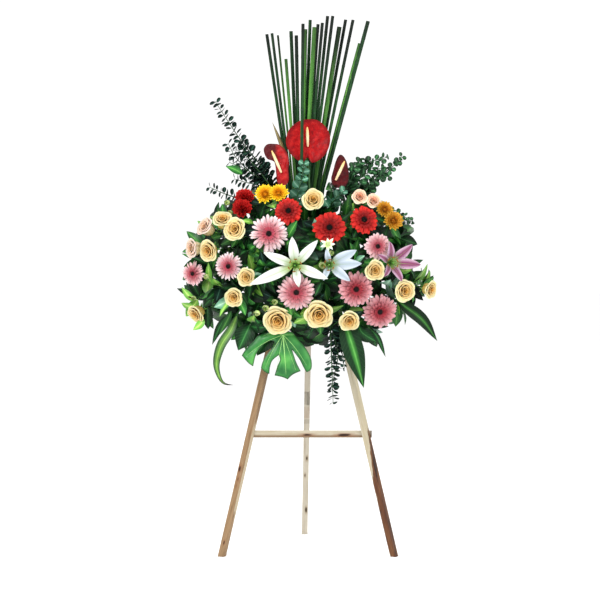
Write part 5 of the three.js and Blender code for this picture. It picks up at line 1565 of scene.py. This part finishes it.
SPLIT_LEAF = split_paint()
RIB = leaf_paint("rib", from_hex("7cb464"), from_hex("b4d890"), from_hex("b4d890"), stripe=(0.0, 0.5))
fine.setdefault("monstera_leaf", []).append((pile, SPLIT_LEAF, "split"))
print("split leaf:", len(quads), "faces,", len(ribs), "ribs")

# %% [markdown]
# ## Bunches
# Each bunch of the model is a set of stems that share one hole in the foam, with plain spikes for leaves. The
# real routes of its stems are kept: a copy of the mesh loses its plain leaves, and its spikes are drawn back
# into the stem. A fine leaf then takes the place of each spike. A vertex that has no near neighbour is the tip
# of a spike, because the rings of a stem are narrow.

# %% Bare stems
SPIKE = 0.0195  # every edge at the tip of a spike is longer than this
NEAR_FINE = {"twig": 0.010, "split": 0.020}


def copied(node):
    """The model's mesh of a bunch, with its split vertices joined."""
    mesh = frame["nodes"][node].data
    mesh.calc_loop_triangles()
    points = np.array([v.co[:] for v in mesh.vertices])
    faces = np.array([t.vertices[:] for t in mesh.loop_triangles])
    keys, index = np.unique(points.round(6), axis=0, return_inverse=True)
    faces = index.reshape(-1)[faces]
    whole = (faces != np.roll(faces, 1, axis=1)).all(1)  # joining the vertices can take a corner from a face
    return keys, faces[whole]


def bare_stems(node):
    """Stem points and faces of a bunch, and the foot and tip of every spike."""
    points, faces = copied(node)
    for pile, _, kind in fine.get(node, []):
        tree = BVHTree.FromPolygons(*[a.tolist() for a in pile.solid()])
        reach = NEAR_FINE.get(kind, 0.005)
        near = np.array([tree.find_nearest(Vector(p), reach)[0] is not None for p in points])
        faces = faces[~near[faces].all(1)]
    edges = np.concatenate([faces[:, [0, 1]], faces[:, [1, 2]], faces[:, [2, 0]]])
    lengths = np.linalg.norm(points[edges[:, 0]] - points[edges[:, 1]], axis=1)
    shortest = np.full(len(points), np.inf)
    np.minimum.at(shortest, edges[:, 0], lengths)
    np.minimum.at(shortest, edges[:, 1], lengths)
    spikes = []
    for tip in np.flatnonzero((shortest > SPIKE) & np.isfinite(shortest)):
        near = np.unique(edges[(edges == tip).any(1)])
        foot = points[near[near != tip]].mean(0)
        spikes.append((foot, points[tip].copy()))
        points[tip] = foot
    return points, faces, edges, spikes


bare = {}
for node in frame["nodes"]:
    if node.startswith(("stems_", "eucalyptus_", "monstera")):
        bare[node] = bare_stems(node)
        print(node, len(bare[node][1]), "stem faces,", len(bare[node][3]), "spikes")

# %% [markdown]
# ## Filling in
# A florist fills the dome with greenery until no foam shows. Leaves are first set at random below the skin of
# the dome: the nearest stem is found, and a leaf grows from that stem. Then lines of sight are tried from the
# front, from both sides and from above. Where one would pass through the dome, one more leaf closes it. A leaf
# that would cut a bloom, hide one from the front, or leave the model's box, is dropped. The upper right edge
# gets no filling, because the spray ends with its roses and lilies there.

# %% Stems to grow from
BOX_LOW, BOX_HIGH = [np.array(corner) for corner in CAD_BOX]


def tree_from(parts):
    """One search tree for several parts, each with its points and its faces."""
    points, faces, count = [], [], 0
    for more, joined in parts:
        points.append(more)
        faces.append(joined + count)
        count += len(more)
    return BVHTree.FromPolygons(np.concatenate(points).tolist(), np.concatenate(faces).tolist())


def tree_of(piles):
    return tree_from([pile.solid() for pile in piles if pile.count])


def stem_places():
    """Points along the stems of the flower bunches, with the bunch that each belongs to."""
    places, owners = [], []
    for node, (points, _, edges, _) in bare.items():
        if node.startswith("stems_"):
            a, b = points[edges[:, 0]], points[edges[:, 1]]
            long = np.linalg.norm(a - b, axis=1) > 0.012
            for share in (0.15, 0.5, 0.85):
                places.append(a[long] + share * (b[long] - a[long]))
                owners.extend([node] * int(long.sum()))
    return np.concatenate(places), owners


places, owners = stem_places()
near_stems = KDTree(len(places))
for i, place in enumerate(places):
    near_stems.insert(Vector(place), i)
near_stems.balance()
blooms = tree_of(blocking)
showpieces = tree_of([part[0] for leaves in fine.values() for part in leaves])
print(len(places), "places for leaves")

# %% Leaf on a stalk
BLADE = np.linspace(0, 1, 9)
BLADE_WIDTH = np.sin(np.pi * BLADE**0.75) ** 0.9
THIN = 0.0009


def leaf_from(foot, tip, facing, half_width, blade, chance):
    """A leaf from a stem to a tip, in metres. What its blade doesn't need of the way is stalk."""
    length = np.linalg.norm(tip - foot)
    stalk = max(0.06, 1 - blade / length)
    t = np.concatenate([[0], stalk + (1 - stalk) * BLADE])
    bow = unit(facing) * length * chance.uniform(0.04, 0.14)
    path = foot + (tip - foot) * t[:, None] + bow * np.sin(np.pi * t)[:, None]
    widths = np.concatenate([[THIN], np.maximum(half_width * BLADE_WIDTH, THIN * (1 - BLADE))])
    widths[-1] = 0.0001
    return leaf(path, widths, unit(facing), 7, fold=chance.uniform(0.1, 0.3), wave=0.04, groove=0.06)


def is_clear(path):
    """No bloom lies in the way along a path of points in metres."""
    for start, end in zip(path[:-1], path[1:]):
        step = Vector(end - start)
        if blooms.ray_cast(Vector(start), step.normalized(), step.length)[0] is not None:
            return False
    return True


def hides_bloom(points):
    """A bloom or a big leaf lies close behind one of these points, as seen from the front."""
    back, trees = Vector((0, 1, 0)), (blooms, showpieces)
    return any(tree.ray_cast(Vector(p), back, 0.14)[0] is not None for p in points for tree in trees)


def in_box(points, margin=0.002):
    return bool((points > BOX_LOW + margin).all() and (points < BOX_HIGH - margin).all())


def allowed(grid, foot, tip, go, facing):
    if abs(facing.dot(go)) > 0.92 or not in_box(grid.reshape(-1, 3)):
        return False
    middle = grid.shape[1] // 2
    outline = [*grid[3:, middle], grid[5, 0], grid[5, -1]]
    return is_clear([foot, grid[4, middle], tip]) and not hides_bloom(outline)


def green_for(chance, share):
    draw = chance.random()
    for green, part in ((DARK, share), (MID, 0.3), (BLUE, 0.1), (MINT, 0.06)):
        draw -= part
        if draw < 0:
            return green
    return LIME


# %% Leaves below the skin
LAYERS = [(14, 260), (34, 260), (60, 220), (90, 160)]  # depth in millimetres, and how many to try
BARE_SIDE, BARE_ABOVE = 295, 780  # right of one and above the other, the dome has no filling
fill = {node: Pile() for node in bare}
chance = dice("filling")
grown = 0
for depth, tries in LAYERS:
    for _ in range(tries):
        angle, share = chance.uniform(0, 2 * math.pi), math.sqrt(chance.uniform(0, 0.94))
        x, z = DOME_REACH[0] * share * math.cos(angle), DOME_Z + DOME_REACH[2] * share * math.sin(angle)
        point, out = on_dome(x, z)
        if x > BARE_SIDE and z > BARE_ABOVE:
            continue
        target = plan(*(point - out * depth))
        where, i, distance = near_stems.find(Vector(target))
        if not 0.012 < distance < 0.085:
            continue
        foot = places[i]
        go = unit(0.75 * unit(target - foot) + 0.5 * out + 0.25 * chance.normal(size=3))
        length = chance.uniform(0.045, 0.08)
        tip = foot + go * length
        facing = unit(out + 0.35 * chance.normal(size=3))
        grid = leaf_from(foot, tip, facing, length * chance.uniform(0.16, 0.26), length, chance)
        if allowed(grid, foot, tip, go, facing):
            # Its second number is painted shade: the deeper the leaf, the darker it is painted.
            fill[owners[i]].add(grid, (chance.random(), 1.2 - depth / 110), green_for(chance, 0.38))
            grown += 1
print(grown, "leaves below the skin")

# %% Leaves in place of spikes
for node, (_, _, _, spikes) in bare.items():
    for foot, tip in spikes if node.startswith("stems_") else []:
        facing = unit(on_dome(*((tip - SHIFT) / MM)[[0, 2]])[1] + 0.3 * chance.normal(size=3))
        go = unit(tip - foot)
        if abs(facing.dot(go)) > 0.9:
            facing = unit(np.cross(np.cross(go, facing), go) + 0.2 * facing)
        length = np.linalg.norm(tip - foot)
        for share in (1.0, 0.8, 0.6):
            end = foot + share * (tip - foot)
            grid = leaf_from(foot, end, facing, 0.24 * length * share, length * share, chance)
            if allowed(grid, foot, end, go, facing):
                fill[node].add(grid, (chance.random(), 1.0), green_for(chance, 0.4))
                break

# %% Leaves that close the view
SIGHTS = [(0, 0, 2200), (-38, 5, 900), (38, 5, 900), (0, 38, 800)]  # azimuth, elevation, lines of sight to try
CORE = 0.84  # how far out in the dome the closing leaves lie
stem_tree = tree_from([part[:2] for part in bare.values()])
closed = 0
for turn in range(3):
    for azimuth, elevation, lines in SIGHTS:
        a, e = math.radians(azimuth), math.radians(elevation)
        sight = np.array([-math.sin(a) * math.cos(e), math.cos(a) * math.cos(e), -math.sin(e)])
        greens = tree_of([*fill.values(), *[part[0] for leaves in fine.values() for part in leaves]])
        taken = []
        for k in range(lines):
            height = 1 - 2 * (k + 0.5) / lines
            swing = k * GOLDEN + turn
            girth = math.sqrt(1 - height**2)
            way = np.array([girth * math.cos(swing), girth * math.sin(swing), height])
            point = np.array([0, DOME_Y, DOME_Z]) + CORE * DOME_REACH * way
            normal = unit(way / DOME_REACH)
            at_bare_edge = point[0] > BARE_SIDE - 10 and point[2] > BARE_ABOVE
            if normal.dot(sight) > -0.3 or point[1] > DOME_Y - 20 or at_bare_edge:
                continue
            target = plan(*point)
            start = Vector(target - 0.25 * sight)
            reach = 0.25 + 0.11
            trees = (greens, blooms, stem_tree)
            if any(tree.ray_cast(start, Vector(sight), reach)[0] is not None for tree in trees):
                continue
            if any(np.linalg.norm(target - other) < 0.016 for other in taken):
                continue
            for deeper in (0.01, 0.035, 0.06, 0.09):
                goal = target + sight * deeper
                where, i, distance = near_stems.find(Vector(goal))
                foot = places[i]
                go = unit(goal - foot + 0.004 * chance.normal(size=3))
                tip = goal + go * 0.026
                facing = unit(-sight - go * (-sight).dot(go) + 0.15 * chance.normal(size=3))
                grid = leaf_from(foot, tip, facing, chance.uniform(0.014, 0.02), 0.062, chance)
                if distance < 0.13 and allowed(grid, foot, tip, go, facing):
                    # Closing leaves sit in the gaps of the dome, so they get painted shade.
                    tone = (chance.random(), chance.uniform(0.4, 0.8))
                    fill[owners[i]].add(grid, tone, green_for(chance, 0.62))
                    taken.append(target)
                    break
        closed += len(taken)
print(closed, "leaves close the view")

# %% Make the bunches
def make_stalks(node):
    """The bare stems of a bunch as a mesh of their own, rounded off."""
    points, faces = bare[node][:2]
    mesh = bpy.data.meshes.new(node + "_stalks")
    mesh.from_pydata(points.tolist(), [], faces.tolist())
    for layer in ("petal", "tone"):
        made = mesh.uv_layers.new(name=layer)
        made.data.foreach_set("uv", np.tile([0.5, 0.9], (len(mesh.loops), 1)).astype(np.float32).ravel())
    mesh.shade_smooth()
    mesh.materials.append(STALK.material)
    piece = bpy.data.objects.new(node + "_stalks", mesh)
    bpy.context.scene.collection.objects.link(piece)
    rounded = piece.modifiers.new("rounded", "SUBSURF")
    rounded.levels = rounded.render_levels = 1
    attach(piece, STAND)
    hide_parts(node)


for node in bare:
    slot = "leaf_blue_green" if node.startswith("eucalyptus") else "leaf_green"
    make_stalks(node)
    if fill[node].count:
        fill[node].make(node + "_leaves", [node], slot, GREENS)
    for number, (pile, paint, kind) in enumerate(fine.get(node, []), 1):
        second = RIB if kind == "split" else STALK
        pile.make(node + "_" + kind + "_" + str(number), [node], slot, [paint, second])
print(len(bare), "bunches")

# %% [markdown]
# ## Buds and a dry sheath
# A few lime-green buds and one small pale star flower fill the gaps between the blooms. Each sits on a thin
# stalk that leaves the nearest stem. One reed keeps a dry brown sheath that peels away from it.

# %% Buds
BUDS = [
    (38, -290, 806, 13), (-114, -262, 690, 12), (-220, -190, 975, 11), (-275, -190, 774, 11), (-315, -165, 713, 10),
    (-136, -258, 679, 11), (-89, -266, 706, 11), (-212, -205, 948, 10), (60, -285, 838, 10),
]
STAR = (54, -288, 862)
LIME_PETAL = petal_paint(
    "lime bud",
    [(0.0, from_hex("68a832")), (0.5, from_hex("a6d650")), (1.0, from_hex("e6f3a8"))],
    [(0.0, from_hex("a8cc50")), (1.0, from_hex("f0f6c4"))],
)
STAR_PETAL = petal_paint(
    "pale star flower",
    [(0.0, from_hex("a4c840")), (0.4, from_hex("dcebbc")), (1.0, from_hex("f2f7ea"))],
    [(0.0, from_hex("b8d050")), (1.0, from_hex("f4f4dc"))],
)


def bud(pile, seat, radius, chance):
    """A half-open bud: three rings of petals that close over its heart."""
    for i in range(15):
        t = i / 14
        tip = (0.3 + 0.35 * (1 - t), 1.25 + 0.25 * t)
        section = [(0.12, 0.0), (0.75 - 0.3 * t, 0.1), (0.9 - 0.5 * t, 0.9), tip]
        s, v, r, z, angle = wrapped_petal(i * GOLDEN, 0.8, section, 9, 7, 0.35)
        z = z + 0.05 * v**3 * np.sin(6 * s + chance.uniform(0, 6))
        pile.add(seat.put(radius * round_points(r, z, angle)), (chance.random(), t))


def star(pile, seat, chance):
    for i in range(7):
        turn = 2 * math.pi * i / 7 + chance.uniform(-0.15, 0.15)
        way = np.array([math.cos(turn), math.sin(turn), 0])
        reach = chance.uniform(17, 26)
        path = smooth_path([way * 1.5, way * 0.5 * reach + UP * 6, way * reach + UP * 4], 12)
        widths = 4.2 * np.sin(np.pi * np.linspace(0.08, 1, 12) ** 0.8) + 0.05
        pile.add(seat.put(leaf(path, widths, UP, 7, fold=0.25)), (chance.random(), 0.0))
    for i in range(6):
        turn = i * math.pi / 3
        tip = np.array([4 * math.cos(turn), 4 * math.sin(turn), 9])
        pile.add(seat.put(stem(smooth_path([UP, tip], 5), [0.7, 0.6, 0.6, 1.1, 0.2], 6)), (0.5, 1.0), 0, True)


def stalk_to(pile, foot_of_flower, behind):
    """A thin stalk from the nearest stem to the foot of a flower, both in metres."""
    _, i, _ = near_stems.find(Vector(foot_of_flower + behind * 0.03))
    path = smooth_path([places[i], (places[i] + foot_of_flower) / 2 + behind * 0.008, foot_of_flower], 12)
    pile.add(stem(path, np.full(12, 0.0013), 7), (0.5, 1.0), 1, True)


pile = Pile()
chance = dice("buds")
for x, y, z, radius in BUDS:
    _, facing = on_dome(x, z)
    seat = Seat([x, y, z], facing + 0.25 * chance.normal(size=3))
    bud(pile, seat, radius, chance)
    stalk_to(pile, plan(x, y, z), -facing)
pile.make("lime_buds", [], "leaf_green", [LIME_PETAL, STALK])
pile = Pile()
_, facing = on_dome(STAR[0], STAR[2])
star(pile, Seat(STAR, facing), chance)
stalk_to(pile, plan(*STAR), -facing)
pile.make("star_flower", [], "petal_white", [STAR_PETAL, STALK])
print(len(BUDS), "buds and a star flower")

# %% Dry sheath
SHEATH_LINE = [[-58, -49, 1075], [-70, -53, 1120], [-84, -54, 1160], [-101, -52, 1204]]
DRY = leaf_paint(
    "dry sheath", from_hex("4a3a20"), from_hex("8a7a48"), from_hex("b8a878"), stripe=(0.1, 0.5), veins=1.0
)
path = smooth_path(SHEATH_LINE, 18)
t = np.linspace(0, 1, 18)
pile = Pile()
grid = leaf(path, 6.5 * np.sin(np.pi * (0.12 + 0.88 * t) ** 0.9) + 0.05, unit([-0.5, -1, 0.1]), 9, fold=-0.5)
pile.add(plan(0, 0, 0) + MM * grid, (0.5, 1.0))
pile.make("dry_sheath", [], "reed_green", [DRY])

# %% [markdown]
# ## Stage
# A pale floor and a pale surround let the spray stand free, with soft light from the front and both sides. The
# lamps are large, so that shadows stay soft and the depths between the blooms still go dark.

# %% Floor and light
bpy.ops.mesh.primitive_plane_add(size=40)
floor = bpy.context.object
floor.name = "floor"
floor_paint = Paint("floor", roughness=0.9)
grit = floor_paint.noise(floor_paint.place(), 30.0, 4.0)
floor_paint.colour(floor_paint.ramp(grit, [(0.3, (0.95, 0.95, 0.95)), (0.7, (0.97, 0.97, 0.97))]))
floor.data.materials.append(floor_paint.material)

world = bpy.data.worlds.new("studio")
bpy.context.scene.world = world
world.use_nodes = True
world.node_tree.nodes["Background"].inputs[0].default_value = (1.0, 1.0, 1.0, 1.0)
world.node_tree.nodes["Background"].inputs[1].default_value = 1.06


def lamp(name, where, size, power):
    made = bpy.data.objects.new(name, bpy.data.lights.new(name, "AREA"))
    made.data.size = size
    made.data.energy = power
    made.location = where
    aim = Vector((0, 0, 0.85)) - Vector(where)
    made.rotation_euler = aim.to_track_quat("-Z", "Y").to_euler()
    bpy.context.scene.collection.objects.link(made)


lamp("key", (-1.8, -3.2, 3.2), 1.6, 110)
lamp("fill", (2.6, -2.6, 1.6), 2.2, 40)
lamp("rim", (0.6, 2.6, 2.8), 1.6, 40)
bpy.context.scene.view_settings.view_transform = "Standard"
print("three lamps")
